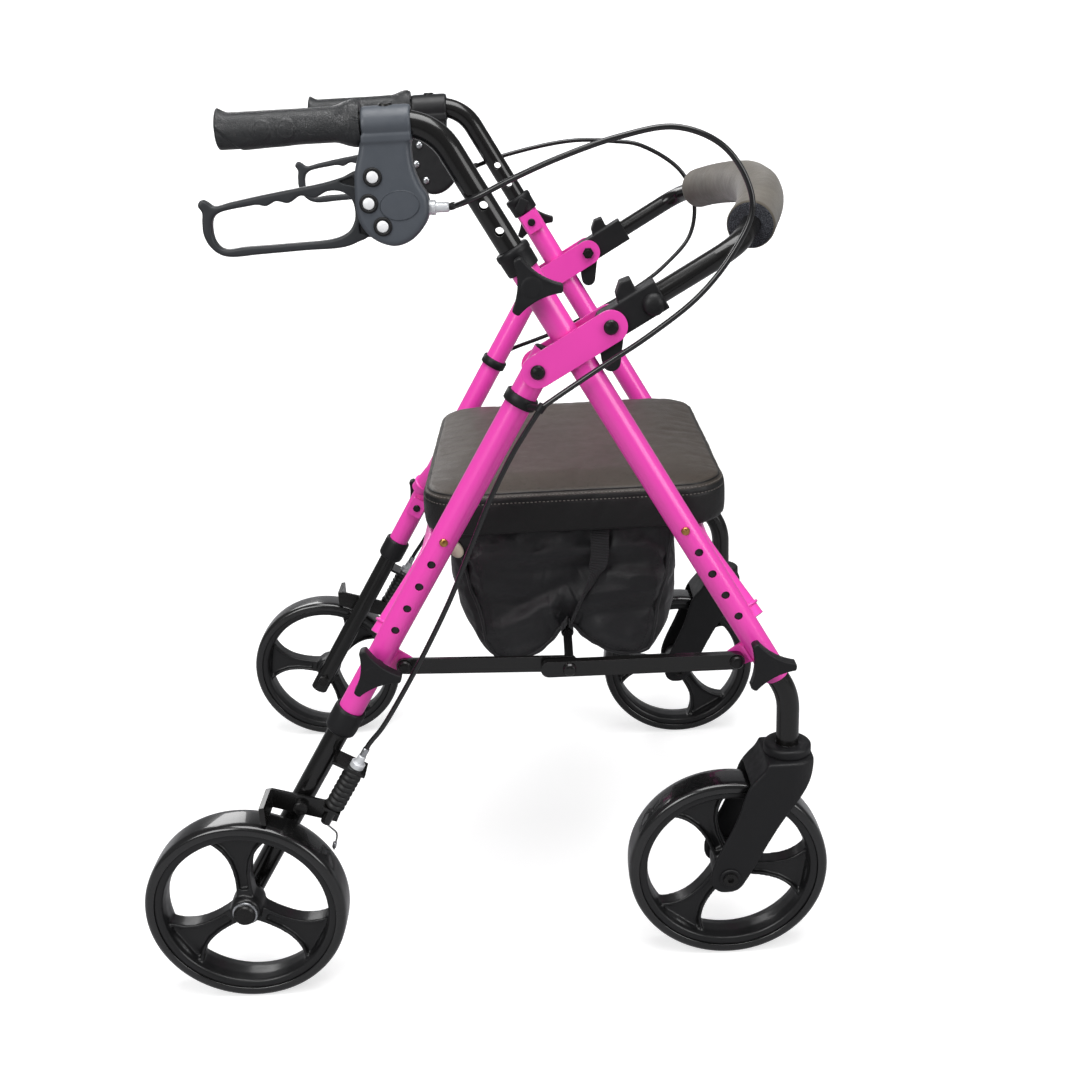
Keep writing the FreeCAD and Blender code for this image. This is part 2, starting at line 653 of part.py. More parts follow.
def rear_link():
    bar = hull_plate(REAR_LINK, LINK_R, MID_LINK, LINK_R, REAR_BAR_Y0, REAR_BAR_Y1)
    y0, y1 = REAR_BAR_Y0 - 2, REAR_BAR_Y1 + 2
    return cut(bar, [y_cylinder(REAR_LINK, y0, y1, PIN_BORE),
                     y_cylinder(MID_LINK, y0, y1, CROSS_ROD_R + SLIP)])


def link_cross_rod():
    """Rod joining the middle pivots, with a collar inside each rear link."""
    collar_in, collar_out = REAR_BAR_Y0 - 3.05, REAR_BAR_Y0 - 0.05
    return fuse([y_cylinder(MID_LINK, -REAR_BAR_Y1, REAR_BAR_Y1, CROSS_ROD_R),
                 y_cylinder(MID_LINK, collar_in, collar_out, 7.5),
                 y_cylinder(MID_LINK, -collar_out, -collar_in, 7.5)])


save("front_links", both(front_link()))
save("rear_links", both(rear_link()))
save("link_cross_rod", link_cross_rod())

# ---------------------------------------------------------------- seat, bag, pull strap
SEAT_X0, SEAT_X1 = -47.0, 257.0
SEAT_HALF = 178.0
SEAT_TOP, SEAT_PAD_Z, SEAT_BOARD_Z = 490.0, 457.0, 449.0
CLIP_R = 14.5
CLIP_WIDTH = 24
BAG_TOP = 447.5

# Bag side outline (x, z), from the rear top corner forward and round underneath
BAG_OUTLINE = [
    (-22, BAG_TOP), (206, BAG_TOP), (206, 420), (198, 388), (188, 340), (183, 308), (174, 297),
    (160, 295.5), (138, 303), (112, 318), (101, 343), (84, 343), (74, 320), (52, 305),
    (32, 297), (20, 298.5), (8, 310), (0, 335), (-10, 380), (-18, 415)]
STRAP_OUTLINE = [(114, BAG_TOP), (138, BAG_TOP), (104, 341), (80, 341)]


def rounded_slab(inset, z0, z1, corner_r):
    """Seat-shaped slab, inset from the seat outline, with rounded corners in plan."""
    x0, x1, half = SEAT_X0 + inset, SEAT_X1 - inset, SEAT_HALF - inset
    slab = Part.makeBox(x1 - x0, 2 * half, z1 - z0, Vector(x0, -half, z0))
    return slab.makeFillet(corner_r, [edge for edge in slab.Edges
                                      if abs(edge.tangentAt(edge.FirstParameter).z) > 0.9])


def seat_cushion():
    cushion = rounded_slab(0, SEAT_PAD_Z, SEAT_TOP, 46.0)
    return cushion.makeFillet(9.0, [edge for edge in cushion.Edges
                                    if abs(edge.BoundBox.ZMin - SEAT_TOP) < 0.01
                                    and abs(edge.BoundBox.ZMax - SEAT_TOP) < 0.01])


def seat_board():
    """Board under the cushion with two clips round the front cross tube."""
    parts = [rounded_slab(5, SEAT_BOARD_Z, SEAT_PAD_Z - 0.05, 42.0)]
    for y in (-110.0, 110.0):
        y0 = y - CLIP_WIDTH / 2
        parts.append(y_cylinder(SEAT_HINGE, y0, y0 + CLIP_WIDTH, CLIP_R))
        parts.append(Part.makeBox(2 * CLIP_R, CLIP_WIDTH, SEAT_BOARD_Z + 2 - SEAT_HINGE[1],
                                  Vector(SEAT_HINGE[0] - CLIP_R, y0, SEAT_HINGE[1])))
    return fuse(parts).cut(y_cylinder(SEAT_HINGE, -130, 130, CROSS_R + 0.06))


save("seat_cushion", seat_cushion())
save("seat_board", seat_board())
save("bag", prism(BAG_OUTLINE, -150.0, 150.0))
save("pull_strap", prism(STRAP_OUTLINE, -158.0, -155.8))

# ---------------------------------------------------------------- handles
HANDLE_KNEE = (-2.4, 843.0)
HANDLE_Z = HANDLE_KNEE[1]
HANDLE_END_X = -178.0
HANDLE_BEND_R = 46.0
GRIP_X0, GRIP_X1 = -182.0, -67.0    # rear and front ends of the grip
LEVER_Y0, LEVER_Y1 = TRACK - 5.0, TRACK + 5.0
LEVER_PIN_R = 3.0
LEVER_BORE = LEVER_PIN_R + 0.06
CAM_EYE = (-41.0, 783.0)

# Grip profile (x, radius)
GRIP_PROFILE = [
    (GRIP_X0, 0), (GRIP_X0, 13.5), (GRIP_X0 + 2, 15.5), (GRIP_X0 + 6, 15.6),
    (GRIP_X0 + 9, 14.6), (GRIP_X0 + 40, 14.8), (GRIP_X0 + 80, 15.2), (GRIP_X1 - 9, 16.0),
    (GRIP_X1 - 5, 17.2), (GRIP_X1 - 1, 17.4), (GRIP_X1, 16.6), (GRIP_X1, 0)]

# Brake housing and its lever pocket (x, z)
HOUSING_OUTLINE = [
    (-60.4, 855.8), (-50, 857.6), (-40, 858.0), (-30, 857.4), (-20.8, 854.9), (-19.2, 845),
    (-20.5, 833.1), (-21.5, 822.0), (-20.3, 807.0), (-16.2, 794.3), (-10.5, 783.9),
    (-9.6, 773.7), (-12.1, 763.6), (-19.5, 753.7), (-28.5, 747.0), (-40.2, 743.9),
    (-51.8, 746.6), (-61.9, 753.3), (-68.8, 763.0), (-71.4, 775.0), (-71.5, 789.6),
    (-69.8, 807.1), (-65.8, 820.6), (-62.6, 832.7), (-61.6, 845)]
POCKET_OUTLINE = [(-95, 825), (-62, 818), (-45, 815), (-33, 800), (-30, 775), (-35, 752),
                  (-45, 743), (-55, 733), (-95, 733)]

# Lever loop (x, z): smooth outer edge, straight-edged front end, hand opening, root plate
LEVER_OUTER = [
    (-69.8, 807.1), (-82.0, 802.7), (-99.4, 798.6), (-126.0, 794.9), (-152.7, 791.2),
    (-179.5, 786.9), (-194.4, 784.4), (-199.7, 788.2), (-204.1, 789.9), (-207.2, 785.2),
    (-204.4, 779.9), (-205.4, 771.0), (-205.4, 760.7), (-201.6, 751.4), (-194.6, 744.5),
    (-185.6, 741.4), (-158.8, 742.2), (-118.6, 743.6), (-85.4, 744.6), (-72.5, 748.6),
    (-64.8, 752.0)]
LEVER_FRONT = [(-64.5, 765), (-64.5, 790.0), (-66.5, 804.0)]
LEVER_OPENING = [
    (-189.8, 778.7), (-166.9, 782.6), (-149.8, 783.2), (-140.2, 784.9), (-129.9, 785.0),
    (-121.3, 788.2), (-105.9, 788.5), (-94.2, 791.3), (-82.5, 790.6), (-76.0, 785.0),
    (-73.6, 776.8), (-74.6, 766.7), (-80.3, 757.9), (-93.3, 752.2), (-131.4, 749.9),
    (-171.4, 749.0), (-190.5, 748.4), (-196.4, 755.1), (-197.7, 766.7), (-195.6, 774.6)]
LEVER_ROOT = [(-73.0, 803.0), (-60, 797), (-46, 778), (-39, 768), (-40, 756), (-47, 750),
              (-66, 751.5), (-73.0, 752.5)]


def handle_sweep(start_t, end_x, radius):
    return sweep(path([on_upright(start_t), at_y(HANDLE_KNEE, TRACK),
                       Vector(end_x, TRACK, HANDLE_Z)], HANDLE_BEND_R), radius)


def handle_tube():
    handle = handle_sweep(125, HANDLE_END_X, IN_R).cut(
        handle_sweep(127, HANDLE_END_X - 2, IN_BORE))
    return cut(handle, [y_cylinder(xz(on_upright(UPPER_KNOB_T + k * PITCH - 1.0)),
                                   TRACK - 20, TRACK + 20, HOLE_R) for k in range(-3, 4)])


def grip():
    points = [Vector(x, TRACK, HANDLE_Z + radius) for x, radius in GRIP_PROFILE]
    face = Part.Face(Part.makePolygon(points + [points[0]]))
    solid = face.revolve(Vector(GRIP_X0, TRACK, HANDLE_Z), Vector(1, 0, 0), 360)
    return solid.cut(rod(Vector(HANDLE_END_X - 0.05, TRACK, HANDLE_Z),
                         Vector(GRIP_X1 + 5, TRACK, HANDLE_Z), IN_R + SLIP))


def brake_housing():
    """Housing round the handle tube, with the lever pin, a top cap and a barrel adjuster."""
    housing = smooth_prism(HOUSING_OUTLINE, TRACK - 14.0, TRACK + 14.0)
    housing = cut(housing, [handle_sweep(125, HANDLE_END_X, IN_R + 0.05),
                            prism(POCKET_OUTLINE, LEVER_Y0 - 0.6, LEVER_Y1 + 0.6)])
    housing = fuse([housing, y_cylinder(LEVER_PIVOT, TRACK - 9, TRACK + 9, LEVER_PIN_R),
                    Part.makeCylinder(6.0, 6.0, Vector(-40.4, TRACK, 854.2))])
    # barrel adjuster on the front edge
    return fuse([housing,
                 rod(Vector(-12.0, TRACK, 773.7), Vector(-2.0, TRACK, 773.4), 5.2),
                 rod(Vector(-2.5, TRACK, 773.4), Vector(7.6, TRACK, 773.2), 3.9)])


def brake_lever():
    """Loop lever with a thinner root plate reaching over the pivot."""
    opening = smooth_prism(LEVER_OPENING, LEVER_Y0 - 1, LEVER_Y1 + 1)
    lever = part_smooth_prism(LEVER_OUTER, LEVER_Y0, LEVER_Y1, LEVER_FRONT).cut(opening)
    root_plate = prism(LEVER_ROOT, LEVER_Y0, LEVER_Y0 + 4.8)
    lever = fuse([lever, root_plate.cut(opening)])
    return lever.cut(y_cylinder(LEVER_PIVOT, LEVER_Y0 - 2, LEVER_Y1 + 2, LEVER_BORE))


def brake_cam():
    """Cam beside the lever's root plate, with an eye at its upper end."""
    y0 = LEVER_Y0 + 5.1
    cam = fuse([y_cylinder(LEVER_PIVOT, y0, LEVER_Y1, 11.0),
                hull_plate(LEVER_PIVOT, 8.0, CAM_EYE, 5.0, y0, LEVER_Y1)])
    return cut(cam, [y_cylinder(LEVER_PIVOT, LEVER_Y0, LEVER_Y1 + 2, LEVER_BORE),
                     y_cylinder(CAM_EYE, LEVER_Y0, LEVER_Y1 + 2, 2.0)])


save_sides("handle_tube", handle_tube())
save_sides("grip", grip())
save_sides("brake_housing", brake_housing())
save_sides("brake_lever", brake_lever())
save_sides("brake_cam", brake_cam())

# ---------------------------------------------------------------- cables
CABLE_R = 2.5

# Corners of the left cable runs (x, y, z), from the brake housing to the rear leg
UPPER_CABLE = [
    (10.4, 241.8, 773.5), (20.5, 251.2, 777.6), (35, 257.5, 783.4), (62, 260.0, 795),
    (102.8, 263.5, 811), (152.5, 268.0, 826), (206, 268.0, 834), (240, 268.0, 818),
    (259, 268.0, 790), (262, 268.0, 760), (248, 268.0, 728), (217, 268.0, 692),
    (174, 268.0, 660), (130, 267, 633), (94, 265.5, 610.4), (77.5, 264.2, 600)]
LOWER_CABLE = [
    (75.5, 264.0, 596.8), (63.4, 263, 579.3), (46, 262, 551), (26.3, 262, 515),
    (4.8, 262, 467.4), (-17.4, 262, 418.4), (-45.1, 262, 366.1), (-73.3, 262, 320),
    on_cable(ANCHOR_T - 44), on_cable(ANCHOR_T - 12.6)]


def cable(corners):
    """Round cable: straight runs joined by nearly the largest tangent bends that fit."""
    points = [Vector(*corner) for corner in corners]
    radii = []
    for i in range(1, len(points) - 1):
        before, after = points[i - 1] - points[i], points[i + 1] - points[i]
        cosine = before.dot(after) / (before.Length * after.Length)
        angle = math.acos(max(-1, min(1, cosine)))
        radii.append(0.48 * min(before.Length, after.Length) * math.tan(angle / 2))
    return sweep(path(points, radii), CABLE_R)


save("brake_cables_upper", both(cable(UPPER_CABLE)))
save("brake_cables_lower", both(cable(LOWER_CABLE)))

# ---------------------------------------------------------------- backrest
BACK_TUBE_R = 9.5
BACK_WALL = 1.5
FOAM_R = 22.0
BACK_ANGLE = math.radians(29.0)    # slope of the backrest arms above level
BACK_REACH = 187.0         # pivot to the middle of the backrest bow
BACK_SIDE = 150.0          # pivot to the foam ends, along the arms
FOAM_HALF = 190.0
ARM_START = 20.0           # pivot to the start of the tube
CORNER_R = 30.0            # bend between an arm and the bow

# The bow is an arc through its middle and the foam ends; its centre lies on y = 0
BOW_R = (FOAM_HALF ** 2 + (BACK_REACH - BACK_SIDE) ** 2) / (2 * (BACK_REACH - BACK_SIDE))
BOW_CENTRE = BACK_REACH - BOW_R
BRACKET_HALF = 12.3        # half width of the brackets
# Polygonal tab on the bracket's upper side (x, z)
TAB_OUTLINE = [(146.5, 692.5), (150.4, 703.0), (159.6, 706.2), (165.4, 694.3), (160.0, 684.0),
               (150.0, 678.0)]


def on_back(along, y, up=0.0):
    """Point along the arms from the pivot, at y, and square to the arms (up)."""
    return at_y(polar(BACK_PIVOT, along, BACK_ANGLE, up), y)


def back_wire(start):
    """Arm, corner, bow, corner, arm, from left to right."""
    corner_y = TRACK - CORNER_R
    bend = math.sqrt((BOW_R - CORNER_R) ** 2 - corner_y ** 2)
    arm_end = BOW_CENTRE + bend
    cosine, sine = bend / (BOW_R - CORNER_R), corner_y / (BOW_R - CORNER_R)
    bow_end, bow_y = BOW_CENTRE + BOW_R * cosine, BOW_R * sine
    mid_angle = (math.atan2(sine, cosine) + math.pi / 2) / 2
    corner_mid = arm_end + CORNER_R * math.cos(mid_angle)
    corner_mid_y = corner_y + CORNER_R * math.sin(mid_angle)
    return Part.Wire([
        Part.makeLine(on_back(start, TRACK), on_back(arm_end, TRACK)),
        Part.Arc(on_back(arm_end, TRACK), on_back(corner_mid, corner_mid_y),
                 on_back(bow_end, bow_y)).toShape(),
        Part.Arc(on_back(bow_end, bow_y), on_back(BACK_REACH, 0),
                 on_back(bow_end, -bow_y)).toShape(),
        Part.Arc(on_back(bow_end, -bow_y), on_back(corner_mid, -corner_mid_y),
                 on_back(arm_end, -TRACK)).toShape(),
        Part.makeLine(on_back(arm_end, -TRACK), on_back(start, -TRACK))])


def backrest_foam():
    end = BOW_CENTRE + math.sqrt(BOW_R ** 2 - FOAM_HALF ** 2)
    arc = Part.Wire(Part.Arc(on_back(end, FOAM_HALF), on_back(BACK_REACH, 0),
                             on_back(end, -FOAM_HALF)).toShape())
    return sweep(arc, FOAM_R).cut(sweep(arc, BACK_TUBE_R + SLIP))


def backrest_bracket():
    """Pivot hub, block round the tube end, upper tab and tapered foot."""
    y0, y1 = TRACK - BRACKET_HALF, TRACK + BRACKET_HALF
    corners = ((-6, -13.5), (52, -13.5), (52, 13.5), (-6, 13.5))    # along the arm, up
    block = [polar(BACK_PIVOT, along, BACK_ANGLE, up) for along, up in corners]
    bracket = fuse([y_cylinder(BACK_PIVOT, y0, y1, 14.0),
                    prism(block, y0, y1),
                    prism(TAB_OUTLINE, y0 + 1.5, y1 - 1.5),
                    hull_plate(BACK_PIVOT, 12.5, (141.2, 633.5), 8.2, y0 + 1.5, y1 - 1.5)])
    return cut(bracket, [y_cylinder(BACK_PIVOT, y0 - 2, y1 + 2, PIN_BORE),
                         rod(on_back(ARM_START - 0.1, TRACK), on_back(60, TRACK),
                             BACK_TUBE_R + 0.03)])


save("backrest_tube", sweep(back_wire(ARM_START), BACK_TUBE_R).cut(
    sweep(back_wire(ARM_START - 2), BACK_TUBE_R - BACK_WALL)))
save("backrest_foam", backrest_foam())
save("backrest_brackets", both(backrest_bracket()))
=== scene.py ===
"""A folding four-wheeled walker: two side frames, seat, bag, padded backrest and hand brakes.

It stands on z = 0. +X is the front (caster wheels), +Y the left side, +Z up. The pieces
are built in metres; tables in millimetres go through mm(). A profile's columns are
(place along its axis, radius), and a flat outline's are (x, z).
"""
import math
import bpy
import bmesh
import numpy as np
from mathutils import Vector, Matrix, noise
from mathutils.bvhtree import BVHTree


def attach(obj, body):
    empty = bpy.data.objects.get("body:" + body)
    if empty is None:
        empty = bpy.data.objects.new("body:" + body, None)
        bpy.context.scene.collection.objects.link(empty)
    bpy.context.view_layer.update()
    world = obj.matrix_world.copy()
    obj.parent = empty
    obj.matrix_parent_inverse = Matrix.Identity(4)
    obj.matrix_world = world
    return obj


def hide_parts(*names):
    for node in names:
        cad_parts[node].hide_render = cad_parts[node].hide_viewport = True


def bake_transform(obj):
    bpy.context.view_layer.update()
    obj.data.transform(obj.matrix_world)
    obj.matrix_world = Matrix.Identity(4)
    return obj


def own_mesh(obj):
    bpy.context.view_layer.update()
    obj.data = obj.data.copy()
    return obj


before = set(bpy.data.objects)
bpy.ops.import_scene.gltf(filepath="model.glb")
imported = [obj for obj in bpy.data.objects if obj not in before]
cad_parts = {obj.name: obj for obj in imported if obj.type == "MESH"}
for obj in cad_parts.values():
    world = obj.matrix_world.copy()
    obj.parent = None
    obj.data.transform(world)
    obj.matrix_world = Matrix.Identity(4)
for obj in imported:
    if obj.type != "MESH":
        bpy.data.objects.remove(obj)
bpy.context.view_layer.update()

SCENE = bpy.context.scene
MM = 0.001
SIDES = (("left", 1.0), ("right", -1.0))
SIDEWAYS = (0, 1, 0)

# ------------------------------------------------------------------ driving dimensions
TRACK = 0.240          # y of the side frames, handles and front wheels
AXLE_X = 0.245         # wheel axles in front of and behind the origin
REAR_Y = 0.277         # y of the rear wheels
WHEEL_R = 0.1016
CASTER_X = 0.3055      # upright axis of the caster forks
HANDLE_Z = 0.843       # axis of the handle tube
# The front frame's side tube runs down and forward from its top, the rear frame's
# down and back; REAR_NORMAL points forward and down, square to the rear tube.
FRONT_TOP, FRONT_DIR = Vector((0.0633, 0, 0.7255)), Vector((0.4879, 0, -0.8729))
REAR_TOP, REAR_DIR = Vector((0.0756, 0, 0.6293)), Vector((-0.5192, 0, -0.8546))
REAR_NORMAL = Vector((0.8546, 0, -0.5192))
FRONT_KNOBS = (0.0222, 0.4445)     # distances of the locking knobs down the tubes
REAR_KNOB = 0.3290
CABLE_ANCHOR = 0.4315              # distance of the lower cable anchor down the rear tube
CABLE_Y, CABLE_OFFSET = 0.262, 0.030


def on_front(t, y=TRACK):
    return FRONT_TOP + FRONT_DIR * t + Vector((0, y, 0))


def on_rear(t, y=TRACK, offset=0.0):
    return REAR_TOP + REAR_DIR * t + REAR_NORMAL * offset + Vector((0, y, 0))


def on_lower_cable(t, side=1.0):
    """Point on the straight end of the lower cable, t down the rear tube."""
    return on_rear(t, side * CABLE_Y, CABLE_OFFSET)


def mm(rows):
    """Rows of millimetres as tuples of metres."""
    return [tuple(value * MM for value in row) for row in rows]


# ------------------------------------------------------------------ objects and meshes
def add(data):
    part = bpy.data.objects.new("part", data)
    SCENE.collection.objects.link(part)
    return part


def remove(part):
    bpy.data.objects.remove(part)


def shade(mesh, sharp):
    """Smooth shading, with edges steeper than sharp degrees kept hard (0 for none)."""
    mesh.polygons.foreach_set("use_smooth", [True] * len(mesh.polygons))
    if sharp:
        mesh.set_sharp_from_angle(angle=math.radians(sharp))
    mesh.update()


def mesh_from(verts, faces, sharp):
    mesh = bpy.data.meshes.new("part")
    mesh.from_pydata([tuple(v) for v in verts], [], faces)
    mesh.validate()
    bm = bmesh.new()
    bm.from_mesh(mesh)
    bmesh.ops.recalc_face_normals(bm, faces=bm.faces)
    bm.to_mesh(mesh)
    bm.free()
    shade(mesh, sharp)
    return add(mesh)


def copy_of(source, *moves):
    mesh = source.data.copy()
    for move in moves:
        mesh.transform(move)
    return add(mesh)


def mirror_copy(part):
    """The same piece on the other side of the XZ plane."""
    mesh = part.data.copy()
    bm = bmesh.new()
    bm.from_mesh(mesh)
    for v in bm.verts:
        v.co.y = -v.co.y
    bmesh.ops.reverse_faces(bm, faces=bm.faces)
    bm.to_mesh(mesh)
    bm.free()
    return add(mesh)


def evaluated(part):
    depsgraph = bpy.context.evaluated_depsgraph_get()
    return bpy.data.meshes.new_from_object(part.evaluated_get(depsgraph), depsgraph=depsgraph)


def bake(part, sharp=0):
    """Replaces a mesh with modifiers, or a curve, by the plain mesh it makes."""
    bpy.context.view_layer.update()
    mesh = evaluated(part)
    mesh.transform(part.matrix_world)
    remove(part)
    shade(mesh, sharp)
    return add(mesh)


def join(parts):
    bm = bmesh.new()
    for part in parts:
        bm.from_mesh(part.data)
        remove(part)
    mesh = bpy.data.meshes.new("part")
    bm.to_mesh(mesh)
    bm.free()
    return add(mesh)


def weld(part):
    """Merges coincident vertices, so the piece is a closed solid."""
    bm = bmesh.new()
    bm.from_mesh(part.data)
    bmesh.ops.remove_doubles(bm, verts=bm.verts, dist=1e-6)
    bmesh.ops.recalc_face_normals(bm, faces=bm.faces)
    bm.to_mesh(part.data)
    bm.free()
    return part


def cut(part, tools):
    for tool in tools:
        modifier = part.modifiers.new("cut", "BOOLEAN")
        modifier.operation = "DIFFERENCE"
        modifier.solver = "EXACT"
        modifier.object = tool
    part = bake(part)
    for tool in tools:
        remove(tool)
    return part


def remeshed(part, voxel, smoothing):
    """One even skin over the piece, with its edges rounded by smoothing passes."""
    remesh = part.modifiers.new("remesh", "REMESH")
    remesh.mode = "VOXEL"
    remesh.voxel_size = voxel
    smooth = part.modifiers.new("smooth", "SMOOTH")
    smooth.factor = 0.5
    smooth.iterations = smoothing
    return bake(part)


def soften(node, voxel, smoothing):
    """A copy of a CAD solid with moulded, rounded edges."""
    bm = bmesh.new()
    bm.from_mesh(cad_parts[node].data)
    bmesh.ops.remove_doubles(bm, verts=bm.verts, dist=1e-6)
    mesh = bpy.data.meshes.new("part")
    bm.to_mesh(mesh)
    bm.free()
    return remeshed(add(mesh), voxel, smoothing)


def subdivided(part, levels):
    modifier = part.modifiers.new("subdivide", "SUBSURF")
    modifier.levels = modifier.render_levels = levels
    return bake(part)


def coords(part):
    return np.array([v.co for v in part.data.vertices], float)


def normals(part):
    flat = np.zeros(len(part.data.vertices) * 3)
    part.data.vertices.foreach_get("normal", flat)
    return flat.reshape(-1, 3)


def set_coords(part, co):
    part.data.vertices.foreach_set("co", co.ravel())
    part.data.update()


# ------------------------------------------------------------------ shapes
def axes_of(direction):
    """The unit direction and two unit vectors square to it."""
    along = Vector(direction).normalized()
    guide = Vector((0, 1, 0)) if abs(along.y) < 0.9 else Vector((0, 0, 1))
    across = (guide - along * guide.dot(along)).normalized()
    return along, across, along.cross(across)


def spoke(across, up, i, count):
    """Unit vector towards step i of count steps round a circle."""
    angle = 2 * math.pi * i / count
    return across * math.cos(angle) + up * math.sin(angle)


def strip(first, second, around):
    """Quads between two closed rings that start at the given vertex numbers."""
    faces = []
    for k in range(around):
        l = (k + 1) % around
        faces.append((first + k, first + l, second + l, second + k))
    return faces


def grid_faces(rows, around, closed=False):
    faces = []
    for i in range(rows if closed else rows - 1):
        faces += strip(i * around, (i + 1) % rows * around, around)
    return faces


def skin(rings):
    """Faces along rings of vertex numbers; a ring of one vertex is a pole."""
    faces = []
    for p, q in zip(rings, rings[1:]):
        count = max(len(p), len(q))
        for i in range(count):
            j = (i + 1) % count
            if len(p) == 1:
                faces.append((p[0], q[i], q[j]))
            elif len(q) == 1:
                faces.append((p[i], q[0], p[j]))
            else:
                faces.append((p[i], q[i], q[j], p[j]))
    return faces


def lathe(profile, origin, direction, segs, sharp=38, capped=False):
    """An open profile turned round an axis; radius 0 closes it, capped adds flat ends."""
    along, across, up = axes_of(direction)
    origin = Vector(origin)
    verts, rings = [], []
    for t, r in profile:
        start = len(verts)
        if r < 1e-7:
            verts.append(origin + along * t)
        else:
            verts += [origin + along * t + spoke(across, up, i, segs) * r for i in range(segs)]
        rings.append(list(range(start, len(verts))))
    faces = skin(rings)
    if capped:
        faces += [tuple(rings[0]), tuple(rings[-1])]
    return mesh_from(verts, faces, sharp)


def ring_lathe(profile, origin, direction, segs, sharp=38):
    """A closed profile turned into a ring."""
    along, across, up = axes_of(direction)
    origin = Vector(origin)
    verts = []
    for i in range(segs):
        out = spoke(across, up, i, segs)
        verts += [origin + along * t + out * r for t, r in profile]
    return mesh_from(verts, grid_faces(segs, len(profile), True), sharp)


def round_profile(points, radius, steps=5):
    """Rounds the corners of a closed 2D polygon."""
    out = []
    count = len(points)
    for i in range(count):
        p = Vector(points[i])
        u, v = Vector(points[i - 1]) - p, Vector(points[(i + 1) % count]) - p
        length_u, length_v = u.length, v.length
        u.normalize()
        v.normalize()
        corner = math.acos(max(-1, min(1, u.dot(v))))
        if corner > math.pi - 0.02:
            out.append((p.x, p.y))
            continue
        t = min(radius / math.tan(corner / 2), length_u * 0.49, length_v * 0.49)
        r = t * math.tan(corner / 2)
        start, end = p + u * t, p + v * t
        centre = p + (u + v).normalized() * (r / math.sin(corner / 2))
        angle = math.atan2(start.y - centre.y, start.x - centre.x)
        last = math.atan2(end.y - centre.y, end.x - centre.x)
        sweep = (last - angle + math.pi) % (2 * math.pi) - math.pi
        for k in range(steps + 1):
            a = angle + sweep * k / steps
            out.append((centre.x + r * math.cos(a), centre.y + r * math.sin(a)))
    return out


def catmull(points, per, closed=False):
    """A smooth curve through the points, per steps to each span.

    Its centripetal parameters keep it from overshooting.
    """
    points = [Vector(p) for p in points]
    count = len(points)

    def between(a, b, ta, tb, t):
        return a * ((tb - t) / (tb - ta)) + b * ((t - ta) / (tb - ta))

    def knot_step(a, b):
        return max(1e-9, (b - a).length) ** 0.5

    out = []
    for i in range(count if closed else count - 1):
        p1, p2 = points[i], points[(i + 1) % count]
        p0 = points[i - 1] if closed or i > 0 else p1 * 2 - p2
        p3 = points[(i + 2) % count] if closed or i + 2 < count else p2 * 2 - p1
        t1 = knot_step(p0, p1)
        t2 = t1 + knot_step(p1, p2)
        t3 = t2 + knot_step(p2, p3)
        for k in range(per):
            t = t1 + (t2 - t1) * k / per
            a1 = between(p0, p1, 0.0, t1, t)
            a2 = between(p1, p2, t1, t2, t)
            a3 = between(p2, p3, t2, t3, t)
            b1 = between(a1, a2, 0.0, t2, t)
            b2 = between(a2, a3, t1, t3, t)
            out.append(between(b1, b2, t1, t2, t))
    if not closed:
        out.append(points[-1].copy())
    return out


def smooth_outline(table):
    """A closed smooth outline in metres through (x, z) points in millimetres."""
    curve = catmull([(x * MM, 0, z * MM) for x, z in table], 6, True)
    return [(p.x, p.z) for p in curve]


def tube(points, radius, segs, closed=False):
    """A round section swept along the points with a frame that doesn't twist."""
    points = [Vector(p) for p in points]
    count = len(points)
    tangents = []
    for i in range(count):
        if closed:
            t = points[(i + 1) % count] - points[i - 1]
        else:
            t = points[min(i + 1, count - 1)] - points[max(i - 1, 0)]
        tangents.append(t.normalized())
    across = axes_of(tangents[0])[1]
    verts = []
    previous = tangents[0]
    for point, t in zip(points, tangents):
        axis = previous.cross(t)
        if axis.length > 1e-9:
            across = Matrix.Rotation(previous.angle(t), 3, axis.normalized()) @ across
        across = (across - t * across.dot(t)).normalized()
        up = t.cross(across)
        previous = t
        verts += [point + spoke(across, up, k, segs) * radius for k in range(segs)]
    faces = grid_faces(count, segs, closed)
    if not closed:
        faces.append(tuple(range(segs)))
        faces.append(tuple((count - 1) * segs + k for k in range(segs)))
    return mesh_from(verts, faces, 0 if closed else 60)


def plate(outline, y0, y1, bevel, steps, holes=()):
    """A plate between y0 and y1 with rounded edges; outline and holes are (x, z) rings."""
    curve = bpy.data.curves.new("part", "CURVE")
    curve.dimensions = "2D"
    curve.fill_mode = "BOTH"
    curve.extrude = (y1 - y0) / 2 - bevel
    curve.bevel_depth = bevel
    curve.bevel_resolution = steps
    curve.offset = -bevel
    for ring in [outline] + list(holes):
        spline = curve.splines.new("POLY")
        spline.points.add(len(ring) - 1)
        for point, (x, z) in zip(spline.points, ring):
            point.co = (x, z, 0, 1)
        spline.use_cyclic_u = True
    part = add(curve)
    part.matrix_world = Matrix(((1, 0, 0, 0), (0, 0, -1, (y0 + y1) / 2),
                                (0, 1, 0, 0), (0, 0, 0, 1)))
    return bake(part, 40)


# ------------------------------------------------------------------ finished pieces
MATS = {}


def dress(part, name, material):
    part.name = name
    part.data.name = name
    part.data.materials.clear()
    part.data.materials.append(MATS[material])


def put(part, name, body, material, replaced=None):
    """Names a piece, puts its material in its slot and hangs it on a moving body; replaced names
    a CAD part to hide.
    """
    dress(part, name, material)
    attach(part, body)
    if replaced:
        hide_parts(replaced)


def put_pair(part, name, body, material, replaced=None):
    """Puts the left piece and its mirror; a * in the names stands for the side."""
    pair = part, mirror_copy(part)
    for (side, _), piece in zip(SIDES, pair):
        put(piece, name.replace("*", side), body.replace("*", side), material,
            replaced and replaced.replace("*", side))
    return pair


